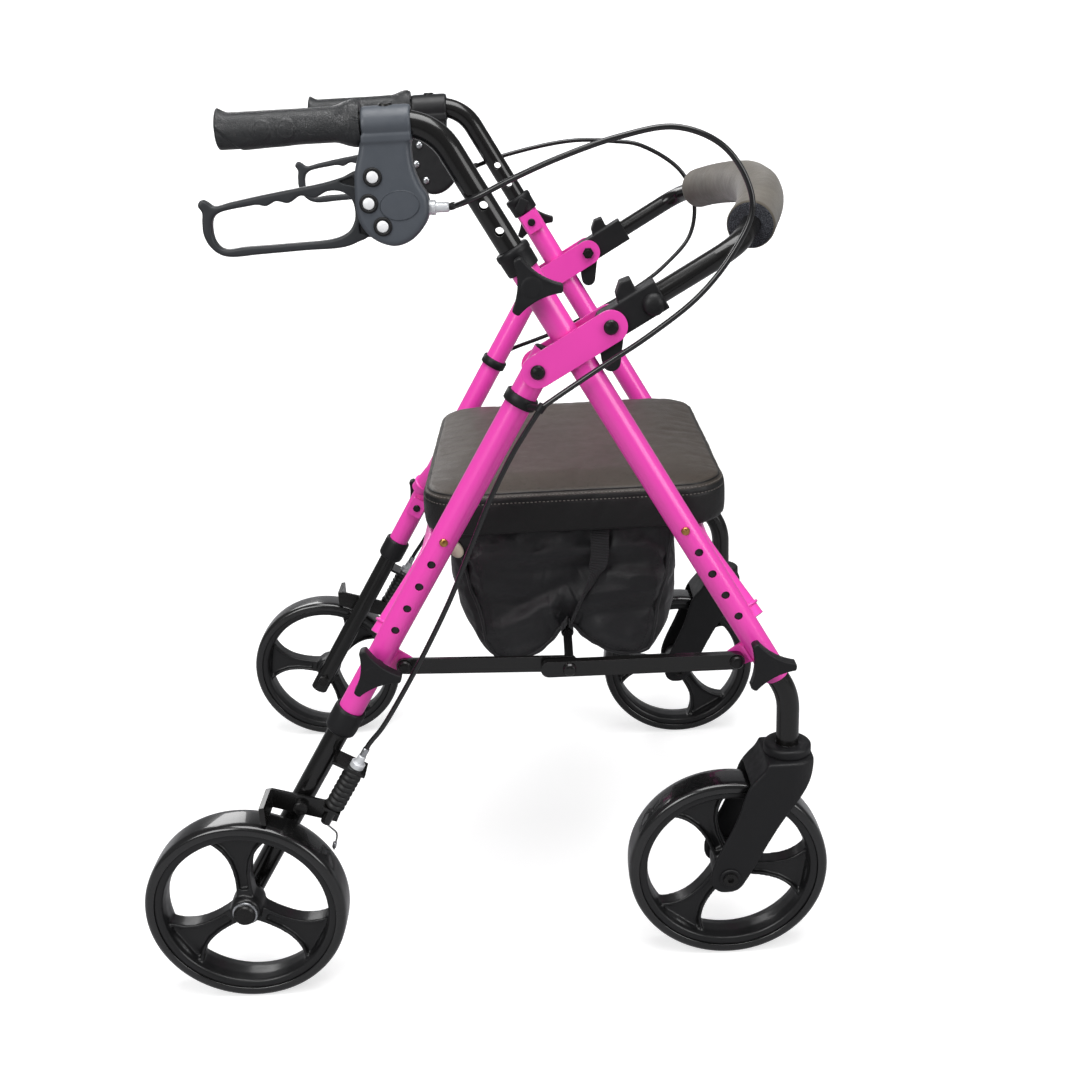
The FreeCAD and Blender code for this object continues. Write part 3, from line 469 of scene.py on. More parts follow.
def put_mirrored(part, name, body, material, replaced=None):
    """Puts the left piece and its mirror as one piece."""
    put(join([part, mirror_copy(part)]), name, body, material, replaced=replaced)


# ------------------------------------------------------------------ material builder
def srgb(*channels):
    def linear(c):
        return (c / 255 / 12.92) if c / 255 <= 0.04045 else ((c / 255 + 0.055) / 1.055) ** 2.4
    return tuple(linear(c) for c in channels) + (1.0,)


class Material:
    """A procedural material in object space, kept in MATS under its name."""

    def __init__(self, name, rough, metal=0.0, coat=0.0, coat_rough=0.05, spec=0.5, sheen=0.0):
        material = MATS[name] = bpy.data.materials.new(name)
        material.use_nodes = True
        self.nodes = material.node_tree.nodes
        self.links = material.node_tree.links
        self.surface = self.nodes["Principled BSDF"].inputs
        for socket, value in (("Roughness", rough), ("Metallic", metal), ("Coat Weight", coat),
                              ("Coat Roughness", coat_rough), ("Specular IOR Level", spec),
                              ("Sheen Weight", sheen)):
            self.surface[socket].default_value = value
        self.place = self.nodes.new("ShaderNodeTexCoord").outputs["Object"]
        self.normal = None

    def feed(self, socket, value):
        """Links an output to the socket, or sets a plain value."""
        if isinstance(value, bpy.types.NodeSocket):
            self.links.new(value, socket)
        else:
            socket.default_value = value

    def node(self, kind, inputs, **settings):
        node = self.nodes.new(kind)
        for key, value in settings.items():
            setattr(node, key, value)
        for key, value in inputs.items():
            self.feed(node.inputs[key], value)
        return node

    def noise(self, scale, detail=3, rough=0.5):
        return self.node("ShaderNodeTexNoise", {
            "Scale": scale, "Detail": detail, "Roughness": rough,
            "Vector": self.place}).outputs["Fac"]

    def cells(self, scale, feature="DISTANCE_TO_EDGE"):
        return self.node("ShaderNodeTexVoronoi", {"Scale": scale, "Vector": self.place},
                         feature=feature).outputs["Distance"]

    def wave(self, scale, direction):
        return self.node("ShaderNodeTexWave", {"Scale": scale, "Vector": self.place},
                         bands_direction=direction).outputs["Fac"]

    def math(self, operation, a, b):
        return self.node("ShaderNodeMath", {0: a, 1: b}, operation=operation).outputs[0]

    def remap(self, value, source, target=(0, 1)):
        return self.node("ShaderNodeMapRange", {
            "From Min": source[0], "From Max": source[1], "To Min": target[0],
            "To Max": target[1], "Value": value}).outputs["Result"]

    def mix(self, factor, a, b):
        return self.node("ShaderNodeMix", {0: factor, 6: a, 7: b}, data_type="RGBA").outputs[2]

    def color(self, value):
        self.feed(self.surface["Base Color"], value)

    def gloss(self, low, high, scale, detail=4, rough=0.5):
        """Lets the surface roughness drift between low and high over a noise."""
        value = self.remap(self.noise(scale, detail, rough), (0.3, 0.7), (low, high))
        self.feed(self.surface["Roughness"], value)

    def set_normal(self, value):
        self.normal = value
        self.feed(self.surface["Normal"], value)

    def bump(self, height, depth, strength):
        inputs = {"Strength": strength, "Distance": depth, "Height": height}
        if self.normal is not None:
            inputs["Normal"] = self.normal
        self.set_normal(self.node("ShaderNodeBump", inputs).outputs["Normal"])

    def edge(self, radius):
        """Rounded looking edges."""
        self.set_normal(self.node("ShaderNodeBevel", {"Radius": radius},
                                  samples=4).outputs["Normal"])


def mottled(name, colors, tint, contrast=None, gloss=None, edge=None, grain=None, **surface):
    """A material whose colour drifts between two sRGB colours over a noise.

    tint is that noise (scale, detail, roughness) and contrast the part of its range used.
    gloss is (low, high roughness, noise scale, detail, roughness), edge the radius of
    rounded edges, grain a bump of (depth, strength, noise scale, detail, roughness).
    The last number of each may be left out.
    """
    look = Material(name, **surface)
    factor = look.noise(*tint)
    if contrast:
        factor = look.remap(factor, contrast)
    look.color(look.mix(factor, srgb(*colors[0]), srgb(*colors[1])))
    if gloss:
        look.gloss(*gloss)
    if edge:
        look.edge(edge)
    if grain:
        depth, strength, *grain_noise = grain
        look.bump(look.noise(*grain_noise), depth, strength)
    return look


# ------------------------------------------------------------------ materials
# glossy powder coat on the welded frames
mottled("frame_pink", ((248, 74, 188), (242, 68, 180)), tint=(5, 2),
        gloss=(0.31, 0.37, 30, 3), edge=0.0008, rough=0.34, coat=0.6, coat_rough=0.14, spec=0.45)
# gloss black tube
mottled("tube_black", ((12, 12, 12), (17, 16, 15)), tint=(10, 2),
        gloss=(0.21, 0.27, 30, 3), edge=0.0007, rough=0.24, coat=0.35, coat_rough=0.08, spec=0.4)
# moulded satin plastic
mottled("plastic_black", ((19, 19, 20), (25, 25, 27)), tint=(30, 3),
        gloss=(0.4, 0.54, 150, 4, 0.6), edge=0.0006, grain=(0.00004, 0.6, 2600, 2, 0.6),
        rough=0.46, spec=0.32)

# brake housing: the outer half shell is grey, the inner one black
look = Material("housing_grey", rough=0.44, spec=0.4)
sideways = look.node("ShaderNodeSeparateXYZ", {0: look.place}).outputs["Y"]
outer = look.math("GREATER_THAN", look.math("ABSOLUTE", sideways, 0.0), TRACK - 0.004)
look.color(look.mix(
    outer,
    look.mix(look.noise(scale=40), srgb(20, 20, 21), srgb(26, 26, 28)),
    look.mix(look.noise(scale=40), srgb(69, 74, 80), srgb(78, 82, 89))))
look.gloss(low=0.36, high=0.5, scale=120, rough=0.6)
look.bump(look.noise(scale=3000, detail=2, rough=0.6), depth=0.00003, strength=0.6)

# leathery rubber of the hand grips
look = Material("grip_rubber", rough=0.33, spec=0.6)
crease = look.remap(look.cells(scale=620), source=(0.0, 0.12))
look.color(look.mix(crease, srgb(7, 7, 8), srgb(22, 24, 27)))
look.gloss(low=0.3, high=0.46, scale=200, detail=4)
look.bump(crease, depth=0.00022, strength=0.7)
look.bump(look.noise(scale=1500), depth=0.00006, strength=0.5)

# polyurethane tyre
mottled("tyre_black", ((10, 10, 11), (15, 15, 15)), tint=(25, 5), contrast=(0.3, 0.7),
        gloss=(0.25, 0.29, 18, 2, 0.4), rough=0.28, coat=0.85, coat_rough=0.05, spec=0.4)
# moulded rim
mottled("rim_black", ((17, 17, 18), (23, 23, 24)), tint=(30, 3),
        gloss=(0.3, 0.44, 80, 4), edge=0.0008, grain=(0.00003, 0.6, 1800, 2),
        rough=0.36, coat=0.25, coat_rough=0.15, spec=0.35)
# black zinc fasteners
mottled("steel_black", ((30, 30, 31), (46, 45, 44)), tint=(200, 3),
        gloss=(0.22, 0.4, 300, 4), edge=0.0004, rough=0.3, metal=0.6)
mottled("brass", ((206, 160, 96), (158, 112, 60)), tint=(260, 4), contrast=(0.4, 0.7),
        gloss=(0.22, 0.42, 600, 3), grain=(0.00004, 0.4, 900, 3), rough=0.3, metal=1.0)
# zinc plated steel
mottled("steel_zinc", ((206, 208, 210), (170, 172, 176)), tint=(240, 3),
        gloss=(0.2, 0.4, 500, 4), grain=(0.00003, 0.4, 1400, 2), rough=0.28, metal=1.0)
# bright zinc of the cable adjusters
mottled("zinc_bright", ((238, 240, 242), (212, 214, 218)), tint=(240, 3),
        gloss=(0.26, 0.42, 500, 4), grain=(0.00002, 0.4, 1400, 2), rough=0.34, metal=0.35)
# moulded brake lever, a shade darker than the housing
mottled("lever_grey", ((38, 40, 43), (47, 49, 52)), tint=(40, 3),
        gloss=(0.36, 0.48, 120, 4), grain=(0.00003, 0.5, 1300, 3), rough=0.42, spec=0.42)
# bright rivet faces
mottled("rivet_white", ((250, 250, 250), (232, 233, 235)), tint=(400, 3),
        grain=(0.00003, 0.4, 1500, 2), rough=0.35, metal=0.1)

# fine-grained vinyl: dark on the sides, with a lighter brownish painted sheen on the faces that
# point up, standing in for the light on the top
look = Material("seat_vinyl", rough=0.42, spec=0.35)
crease = look.remap(look.cells(scale=430), source=(0.0, 0.09))
fine = look.cells(scale=1100)
facing = look.node("ShaderNodeNewGeometry", {}).outputs["Normal"]
facing_up = look.node("ShaderNodeSeparateXYZ", {0: facing}).outputs["Z"]
# painted sheen: the colour goes from the dark side tone to the lighter top tone as the surface
# turns to face up
top = look.remap(facing_up, source=(0.45, 0.93))
painted_sheen_top_tone = look.mix(look.remap(look.noise(scale=9, detail=4), source=(0.35, 0.65)),
                    srgb(69, 62, 56), srgb(77, 70, 63))
side_tone = look.mix(look.noise(scale=14), srgb(16, 16, 17), srgb(22, 21, 21))
painted_sheen_tone = look.mix(top, side_tone, painted_sheen_top_tone)
look.color(look.mix(look.remap(crease, source=(0, 1), target=(0.55, 0.0)),
                    painted_sheen_tone, srgb(16, 15, 14)))
look.gloss(low=0.36, high=0.5, scale=60, rough=0.6)
look.bump(crease, depth=0.00012, strength=0.55)
look.bump(look.remap(fine, source=(0, 0.1)), depth=0.00005, strength=0.4)
look.bump(look.noise(scale=18), depth=0.0012, strength=0.25)

# seat welt of the same vinyl
look = mottled("vinyl_welt", ((17, 16, 16), (26, 25, 24)), tint=(60, 3), rough=0.4, spec=0.35)
look.bump(look.cells(scale=900), depth=0.0001, strength=0.4)

# sewing threads
for name, rough, colors in (("thread", 0.7, ((120, 116, 110), (88, 84, 80))),
                            ("thread_black", 0.75, ((34, 34, 36), (22, 22, 24)))):
    look = mottled(name, colors, tint=(900, 2), rough=rough)
    look.bump(look.wave(2600, "DIAGONAL"), depth=0.0001, strength=0.6)

# closed-cell foam: its skin, and the open pores of its cut faces
look = mottled("foam_taupe", ((74, 68, 59), (86, 80, 70)), tint=(22, 5), contrast=(0.35, 0.65),
               gloss=(0.62, 0.82, 110, 4), rough=0.72, spec=0.3, sheen=0.25)
look.bump(look.cells(1500, "F1"), depth=0.00012, strength=0.5)
look.bump(look.noise(scale=45, detail=4), depth=0.0006, strength=0.3)
mottled("foam_cut", ((30, 31, 34), (86, 88, 94)), tint=(1300, 3, 0.7), contrast=(0.42, 0.62),
        grain=(0.0006, 0.9, 1200, 4, 0.7), rough=0.95, spec=0.2)

# coated nylon of the bag, woven
look = mottled("bag_nylon", ((10, 10, 13), (17, 17, 21)), tint=(7, 4), contrast=(0.3, 0.7),
               gloss=(0.42, 0.56, 160, 4), rough=0.5, spec=0.5, sheen=0.12)
level_threads = look.math("MAXIMUM", look.wave(420, "X"), look.wave(420, "Y"))
weave = look.math("MULTIPLY", level_threads, look.wave(420, "Z"))
look.bump(weave, depth=0.00012, strength=0.6)

# ribbed webbing
look = Material("webbing_black", rough=0.75, sheen=0.1)
ribs = look.wave(190, "Z")
look.color(look.mix(ribs, srgb(8, 8, 9), srgb(46, 46, 49)))
look.bump(ribs, depth=0.0006, strength=0.9)
look.bump(look.wave(420, "X"), depth=0.0002, strength=0.5)

# cable sheath
mottled("cable_black", ((16, 16, 17), (26, 26, 27)), tint=(40, 3),
        grain=(0.00004, 0.4, 500, 2), rough=0.26, coat=0.4, coat_rough=0.1)
# rubber bellows
mottled("bellows_black", ((18, 18, 18), (30, 30, 30)), tint=(90, 3),
        grain=(0.00008, 0.5, 900, 3), rough=0.5)
# cream moulded end plug
mottled("plug_cream", ((214, 206, 186), (196, 187, 166)), tint=(80, 3),
        grain=(0.00003, 0.4, 900, 2), rough=0.45)

# stranded steel inner cable
look = Material("wire_steel", rough=0.35, metal=1.0)
look.color(look.mix(look.wave(900, "DIAGONAL"), srgb(150, 150, 152), srgb(90, 90, 92)))
look.bump(look.wave(900, "DIAGONAL"), depth=0.0002, strength=0.7)

# studio floor: pale to the camera, darker to the light it bounces
look = Material("studio_floor", rough=0.75, spec=0.1)
to_camera = look.node("ShaderNodeLightPath", {}).outputs["Is Camera Ray"]
seen = look.mix(look.noise(scale=2), (0.62, 0.62, 0.62, 1), (0.64, 0.64, 0.64, 1))
look.color(look.mix(to_camera, (0.34, 0.34, 0.35, 1), seen))
look.feed(look.surface["Emission Color"], (1, 1, 1, 1))
look.feed(look.surface["Emission Strength"], look.math("MULTIPLY", to_camera, 0.60))

# ------------------------------------------------------------------ CAD solids kept as they are
CAD_MATERIALS = {
    "front_frame": "frame_pink", "rear_frame": "frame_pink", "front_links": "tube_black",
    "rear_links": "tube_black", "pivot_bolts": "steel_black", "link_bolts": "steel_black",
    "link_cross_rod": "tube_black", "seat_board": "plastic_black", "backrest_tube": "tube_black"}
SIDE_CAD_MATERIALS = {
    "handle_tube": "tube_black", "brake_cam": "plastic_black", "rear_leg": "tube_black",
    "rear_axle": "steel_black", "brake_arm": "tube_black", "front_leg": "tube_black",
    "front_axle": "steel_black", "button_front": "brass", "button_rear": "brass"}
for side, _ in SIDES:
    for name, material in SIDE_CAD_MATERIALS.items():
        CAD_MATERIALS[name + "_" + side] = material
for name, material in CAD_MATERIALS.items():
    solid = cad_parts[name].data.materials
    solid.clear()
    solid.append(MATS[material])

# ------------------------------------------------------------------ wheels
# name, axle x, y on the left, half width of the hub in mm
WHEELS = (("front", AXLE_X, TRACK, 25.2), ("rear", -AXLE_X, REAR_Y, 16.2))
# half of the tyre's section in mm, from the inner edge to the middle of the tread
TYRE_HALF = [
    (-16.2, 91.4), (-17.1, 91.2), (-17.7, 91.6), (-18.0, 92.4), (-18.0, 96.0), (-17.8, 97.4),
    (-17.1, 99.0), (-15.7, 100.4), (-13.4, 101.2), (-9.0, 101.5), (0.0, 101.6)]
# The felloe is drawn out to meet the thin tyre, and the spokes with it: old and new radii.
RIM_RADII = ([0.0, 0.045, 0.0778, 0.0860, 0.12], [0.0, 0.045, 0.0828, 0.0922, 0.1262])


def build_tyres():
    profile = mm(TYRE_HALF + [(-t, r) for t, r in reversed(TYRE_HALF[:-1])])
    tyre = ring_lathe(profile, (0, 0, 0), SIDEWAYS, 128, 50)
    for end, x, y, _ in WHEELS:
        for side, sign in SIDES:
            wheel = f"{end}_{side}"
            part = copy_of(tyre, Matrix.Translation((x, sign * y, WHEEL_R)))
            put(part, f"tyre_{wheel}_soft", f"{end}_wheel_{side}", "tyre_black",
                replaced=f"tyre_{wheel}")
    remove(tyre)


def build_rims():
    for end, x, _, _ in WHEELS:
        for side, _ in SIDES:
            rim = f"rim_{end}_{side}"
            part = soften(rim, 0.0012, 6)
            co = coords(part)
            dx, dz = co[:, 0] - x, co[:, 2] - WHEEL_R
            r = np.hypot(dx, dz)
            stretch = np.interp(r, *RIM_RADII) / np.maximum(r, 1e-6)
            co[:, 0] = x + dx * stretch
            co[:, 2] = WHEEL_R + dz * stretch
            set_coords(part, co)
            put(part, rim + "_moulded", f"{end}_wheel_{side}", "rim_black", replaced=rim)


def build_hub_bearings():
    """Bearing faces on both ends of each hub."""
    for end, x, y, half in WHEELS:
        profile = ((half - 1.4, 4.4), (half - 0.7, 11.0), (half - 0.7, 10.4),
                   (half - 0.1, 9.8), (half - 0.1, 4.4))
        faces = [lathe(mm((sign * t, r) for t, r in profile), (x, y, WHEEL_R), SIDEWAYS, 48)
                 for sign in (-1, 1)]
        put_pair(join(faces), f"hub_bearings_{end}_*", f"{end}_wheel_*", "steel_zinc")


build_tyres()
build_rims()
build_hub_bearings()
# bright ring on the rear hub cap
part = ring_lathe(
    [(0.0, 0.0102), (0.0, 0.0124), (0.0009, 0.0128), (0.0018, 0.0124), (0.0022, 0.0112),
     (0.0022, 0.0102)], (-AXLE_X, 0.2930, WHEEL_R), SIDEWAYS, 64)
put_pair(part, "rear_cap_ring_*", "rear_leg_*", "steel_zinc")
# ring round the axle bolt on the outside of the caster fork
part = ring_lathe(
    [(0.0, 0.0066), (0.0, 0.0104), (0.0010, 0.0108), (0.0019, 0.0100), (0.0019, 0.0072)],
    (AXLE_X, 0.2700, WHEEL_R), SIDEWAYS, 48)
put_pair(part, "fork_bolt_ring_*", "caster_*", "plastic_black")

# ------------------------------------------------------------------ locking knobs
KNOB_PHASE = -5        # degrees of the first wing of the master knob


def knob_point(r, angle, offset=0.0):
    """Point at radius r along the angle, moved sideways by offset."""
    return Vector((r * math.cos(angle) - offset * math.sin(angle),
                   r * math.sin(angle) + offset * math.cos(angle)))


def arc_through(start, middle, end, count):
    """count points from start towards end on the circle through all three."""
    p, m, e = start, middle, end
    pp, mm2, ee = p.length_squared, m.length_squared, e.length_squared
    d = 2 * (p.x * (m.y - e.y) + m.x * (e.y - p.y) + e.x * (p.y - m.y))
    x = (pp * (m.y - e.y) + mm2 * (e.y - p.y) + ee * (p.y - m.y)) / d
    y = (pp * (e.x - m.x) + mm2 * (p.x - e.x) + ee * (m.x - p.x)) / d
    centre = Vector((x, y))
    r = (p - centre).length
    first, mid, last = (math.atan2(q.y - y, q.x - x) for q in (p, m, e))
    sweep = (last - first) % (2 * math.pi)
    if (mid - first) % (2 * math.pi) > sweep:
        sweep -= 2 * math.pi
    angles = [first + sweep * k / count for k in range(count)]
    return [centre + Vector((math.cos(a), math.sin(a))) * r for a in angles]


def knob_outline():
    """Three wings with rounded tips, joined by hollow arcs (mm)."""
    ring = []
    for k in range(3):
        a = math.radians(KNOB_PHASE) + 2 * math.pi * k / 3
        following = a + 2 * math.pi / 3
        ring += arc_through(knob_point(24.2, a, -3.9), knob_point(25.9, a, -3.4),
                            knob_point(26.75, a, -1.9), 4)
        ring += [knob_point(26.95, a, -1.2), knob_point(27.0, a), knob_point(26.95, a, 1.2)]
        ring += arc_through(knob_point(26.75, a, 1.9), knob_point(25.9, a, 3.4),
                            knob_point(24.2, a, 3.9), 4)
        ring += arc_through(knob_point(24.2, a, 3.9), knob_point(12.3, a + math.pi / 3),
                            knob_point(24.2, following, -3.9), 26)
    return ring


def master_knob():
    origin = (0, 0, 0)
    wings = plate(mm(knob_outline()), 0.0203, 0.0327, 0.0013, 3)
    hub = lathe([(0.0130, 0.0), (0.0130, 0.0092), (0.0138, 0.0098), (0.0205, 0.0104),
                 (0.0225, 0.0112)], origin, SIDEWAYS, 48)
    face = lathe([(0.0320, 0.0098), (0.0327, 0.0092), (0.03285, 0.0070), (0.0329, 0.0)],
                 origin, SIDEWAYS, 48, 0)
    inner_ring = ring_lathe([(0.0118, 0.0052), (0.0118, 0.0084), (0.0133, 0.0084),
                             (0.0133, 0.0052)], origin, SIDEWAYS, 40)
    return join([wings, hub, face, inner_ring])


def build_knobs():
    master = master_knob()
    # name, centre, angle of the first wing in degrees
    for name, centre, phase in (("upper", on_front(FRONT_KNOBS[0]), -5),
                                ("front", on_front(FRONT_KNOBS[1]), -2),
                                ("rear", on_rear(REAR_KNOB), -12)):
        turn = Matrix.Rotation(math.radians(KNOB_PHASE - phase), 4, "Y")
        part = copy_of(master, turn, Matrix.Translation((centre.x, TRACK, centre.z)))
        put_pair(part, f"knob_{name}_*_winged", f"knob_{name}_*", "plastic_black",
                 replaced=f"knob_{name}_*")
    remove(master)


build_knobs()

# ------------------------------------------------------------------ caster forks and cups
part = soften("caster_fork_left", 0.0013, 14)
put_pair(part, "caster_fork_shell_*", "caster_*", "plastic_black", replaced="caster_fork_*")
CUP = [(0.0, 12.0), (0.0, 22.7), (0.5, 23.3), (6.6, 23.3), (7.6, 23.1), (8.5, 22.4),
       (9.05, 21.4), (9.25, 20.0), (9.3, 12.4), (8.8, 11.6), (8.8, 11.2)]
part = ring_lathe(mm(CUP), (CASTER_X, TRACK, 0.2303), (0, 0, 1), 72, 50)
put_pair(part, "caster_cup_*", "front_leg_*", "plastic_black")

# ------------------------------------------------------------------ tube collars and sleeves
UPPER_COLLAR = [
    (-12.0, 11.25), (-12.0, 14.2), (-11.2, 15.4), (-9.6, 15.9), (-6.0, 15.9), (-5.2, 15.3),
    (8.2, 15.0), (9.4, 14.7), (9.8, 13.9), (9.8, 12.8), (-9.0, 12.8), (-9.2, 11.25)]
REAR_SLEEVE = [
    (-14.0, 12.8), (-14.0, 14.6), (-13.0, 15.6), (-11, 16.0), (8, 16.0), (12.0, 15.4),
    (13.6, 14.0), (14.0, 12.6), (14.0, 11.25), (-3.6, 11.25), (-3.8, 12.8)]
REAR_TOP_PLUG = [(-1.6, 0.0), (-1.6, 8.0), (-1.4, 10.4), (-1.0, 11.6), (-0.4, 12.2),
                 (0.2, 12.3), (0.2, 11.0)]
COLLAR_TAB = [(-6, -9), (6, -9), (6, 9), (-6, 9)]

collar = ring_lathe(mm(UPPER_COLLAR), on_front(0), FRONT_DIR, 64, 45)
# tab on the inner face of the collar, turned in line with the tube
tab = plate(mm(round_profile(COLLAR_TAB, 2.5)), -0.0185, -0.0140, 0.0010, 2)
tab.data.transform(Matrix.Rotation(math.radians(29.2), 4, "Y"))
tab.data.transform(Matrix.Translation(on_front(0)))
put_mirrored(join([collar, tab]), "upper_collar_rings", "front_frame", "plastic_black",
             "upper_collars")
sleeve = ring_lathe(mm(REAR_SLEEVE), on_rear(0.400), REAR_DIR, 64, 45)
plug = lathe(mm(REAR_TOP_PLUG), on_rear(-0.018), REAR_DIR, 64, 50)
put_mirrored(join([sleeve, plug]), "rear_tube_sleeves", "rear_frame", "plastic_black",
             "rear_tube_caps")


# ------------------------------------------------------------------ weld beads
def weld_bead(name, body, start, end):
    """A rippled bead round a bar that runs from start to end, just short of its end."""
    direction = (Vector(end) - Vector(start)).normalized()
    centre = Vector(end) - direction * 0.0125
    _, across, up = axes_of(direction)
    radius, count, ripples = 0.0116, 56, 21
    points = []
    for i in range(count):
        ripple = 1 + 0.02 * math.sin(2 * math.pi * i / count * ripples)
        points.append(centre + spoke(across, up, i, count) * radius * ripple)
    put_mirrored(tube(points, 0.0016, 10, True), name, body, "frame_pink")


weld_bead("weld_beads_front", "front_frame", (0.224, 0.192, 0.437), (0.272, 0.233, 0.372))
weld_bead("weld_beads_rear", "rear_frame", (-0.038, 0.192, 0.4379), (-0.090, 0.233, 0.372))


def screw_end(centre):
    return lathe([(0.0, 0.0046), (-0.0016, 0.0046), (-0.0024, 0.0038), (-0.0024, 0.0)],
                 centre, SIDEWAYS, 24)


# small dark screw ends in the inner nut blocks
NUT_BLOCK_Y = 0.2225
put_mirrored(join([screw_end(on_front(t, NUT_BLOCK_Y)) for t in FRONT_KNOBS]),
             "nut_block_screws_front", "front_frame", "steel_black")
put_mirrored(screw_end(on_rear(REAR_KNOB, NUT_BLOCK_Y)),
             "nut_block_screws_rear", "rear_frame", "steel_black")

# ------------------------------------------------------------------ brake housings
SHELL_HALF = 0.0140    # half thickness of the housing
HOUSING = [
    (-60.4, 838), (-50, 840), (-30, 840), (-21.8, 836), (-20.5, 833.1), (-21.5, 822.0),
    (-20.3, 807.0), (-16.2, 794.3), (-10.5, 783.9), (-9.6, 773.7), (-12.1, 763.6),
    (-19.5, 753.7), (-28.5, 747.0), (-40.2, 743.9), (-51.8, 746.6), (-61.9, 753.3),
    (-68.8, 763.0), (-71.4, 775.0), (-71.5, 789.6), (-69.8, 807.1), (-65.8, 820.6),
    (-62.6, 832.7)]
# slot for the lever, open to the rear
LEVER_SLOT = [(-95, 824), (-64, 818), (-50, 812), (-40, 800), (-36, 775), (-40, 752),
              (-50, 740), (-60, 733), (-95, 733)]
CLAMP_RING = [(-61.3, 11.4), (-61.3, 13.4), (-60.4, 14.9), (-58.0, 15.4), (-40, 15.6),
              (-23.0, 15.6), (-20.4, 15.0), (-19.4, 13.4), (-19.4, 11.4)]
CLAMP_FLANGE = [(-62.2, 829), (-20.0, 829), (-20.0, 836.5), (-61.8, 836.5)]


def build_housing():
    shell = weld(plate(smooth_outline(HOUSING), TRACK - SHELL_HALF, TRACK + SHELL_HALF,
                       0.0050, 5))
    slot = weld(plate(mm(LEVER_SLOT), TRACK - 0.0060, TRACK + 0.0060, 0.0004, 1))
    shell = cut(shell, [slot])
    ring = ring_lathe(mm(CLAMP_RING), (0, TRACK, HANDLE_Z), (1, 0, 0), 72)
    flange = weld(plate(mm(round_profile(CLAMP_FLANGE, 1.5)), TRACK - 0.0152,
                        TRACK + 0.0152, 0.0014, 3))
    part = remeshed(join([shell, ring, flange]), 0.0009, 4)
    put_pair(part, "brake_housing_shell_*", "handle_*", "housing_grey",
             replaced="brake_housing_*")


def build_housing_oval():
    """A flat oval with a groove and a raised rim, on the outer face."""
    centre_x, centre_z, half_length, half_height = -0.0338, 0.7778, 0.0166, 0.0120
    tilt, count = math.radians(3), 72
    # share of the oval's size, height above the housing face
    rings = [(1.06, -0.0004), (1.04, 0.00025), (1.022, 0.0004), (1.012, 0.0001),
             (1.0, -0.0005), (0.988, 0.0001), (0.975, 0.0005), (0.6, 0.0006), (0.3, 0.0006)]
    verts = []
    for share, height in rings:
        for i in range(count):
            a = 2 * math.pi * i / count
            u, v = half_length * share * math.cos(a), half_height * share * math.sin(a)
            verts.append((centre_x + u * math.cos(tilt) - v * math.sin(tilt),
                          TRACK + SHELL_HALF + height,
                          centre_z + u * math.sin(tilt) + v * math.cos(tilt)))
    faces = grid_faces(len(rings), count)
    faces.append(tuple((len(rings) - 1) * count + i for i in range(count)))
    put_pair(mesh_from(verts, faces, 50), "housing_oval_*", "handle_*", "housing_grey")


RIVETS = [(-54.8, 802.1), (-59.9, 780.7), (-49.7, 761.3)]
RIVET_WELL = [(-0.0012, 0.0082), (0.0009, 0.0079), (0.0017, 0.0074), (0.0018, 0.0062),
              (0.0012, 0.0053), (-0.0012, 0.0051)]
RIVET_HEAD = [(-0.001, 0.0050), (0.0010, 0.0050), (0.0016, 0.0047), (0.0019, 0.0040),
              (0.0020, 0.0)]
RIVET_TAIL = [(0.001, 0.0042), (-0.0012, 0.0042), (-0.0026, 0.0034), (-0.0032, 0.0018),
              (-0.0033, 0.0)]


def build_rivets():
    """Bright flat heads in raised rings on the outer face, tails on the inner one."""
    wells, heads, tails = [], [], []
    for x, z in mm(RIVETS):
        outside, inside = (x, TRACK + SHELL_HALF, z), (x, TRACK - SHELL_HALF, z)
        wells.append(ring_lathe(RIVET_WELL, outside, SIDEWAYS, 48, 60))
        heads.append(lathe(RIVET_HEAD, outside, SIDEWAYS, 48, 50))
        tails.append(lathe(RIVET_TAIL, inside, SIDEWAYS, 32, 50))
    put_pair(join(wells), "rivet_wells_*", "handle_*", "plastic_black")
    put_pair(join(heads), "rivet_heads_*", "handle_*", "rivet_white")
    put_pair(join(tails), "rivet_tails_*", "handle_*", "steel_zinc")


def build_clamp_bolt():
    """Bolt on top of the clamp ring, with a hexagon socket."""
    centre, up = (-0.0404, TRACK, 0.8570), (0, 0, 1)
    head = ring_lathe([(-0.002, 0.0032), (-0.002, 0.0060), (0.0020, 0.0060),
                       (0.0030, 0.0052), (0.0031, 0.0034), (0.0008, 0.0030)],
                      centre, up, 40, 40)
    socket = lathe([(0.0, 0.0033), (0.0007, 0.0)], centre, up, 6, 20)
    put_pair(join([head, socket]), "clamp_bolt_*", "handle_*", "steel_black")


def build_upper_adjuster():
    """Barrel adjuster on the front edge of the housing."""
    barrel = lathe(
        [(-0.002, 0.0), (-0.002, 0.0052), (0.0015, 0.0052), (0.0021, 0.0061),
         (0.0052, 0.0064), (0.0074, 0.0064), (0.0080, 0.0058), (0.0080, 0.0046),
         (0.0088, 0.0044), (0.0180, 0.0044), (0.0188, 0.0040), (0.0200, 0.0030),
         (0.0202, 0.0)], (-0.0125, TRACK, 0.7737), (1, 0, -0.02), 40, 35)
    put_pair(join([barrel]), "barrel_adjuster_upper_*", "handle_*", "zinc_bright")


build_housing()
build_housing_oval()
build_rivets()
build_clamp_bolt()
build_upper_adjuster()

# ------------------------------------------------------------------ brake levers
LEVER_OUTER = [
    (-69.8, 807.1), (-82.0, 802.7), (-99.4, 798.6), (-126.0, 794.9), (-152.7, 791.2),
    (-179.5, 786.9), (-194.4, 784.4), (-199.7, 788.2), (-204.1, 789.9), (-207.2, 785.2),
    (-204.4, 779.9), (-205.4, 771.0), (-205.4, 760.7), (-201.6, 751.4), (-194.6, 744.5),
    (-185.6, 741.4), (-158.8, 742.2), (-118.6, 743.6), (-85.4, 744.6), (-72.5, 748.6),
    (-64.8, 752.0), (-62.8, 758), (-62.0, 775), (-62.4, 792), (-64.6, 803)]
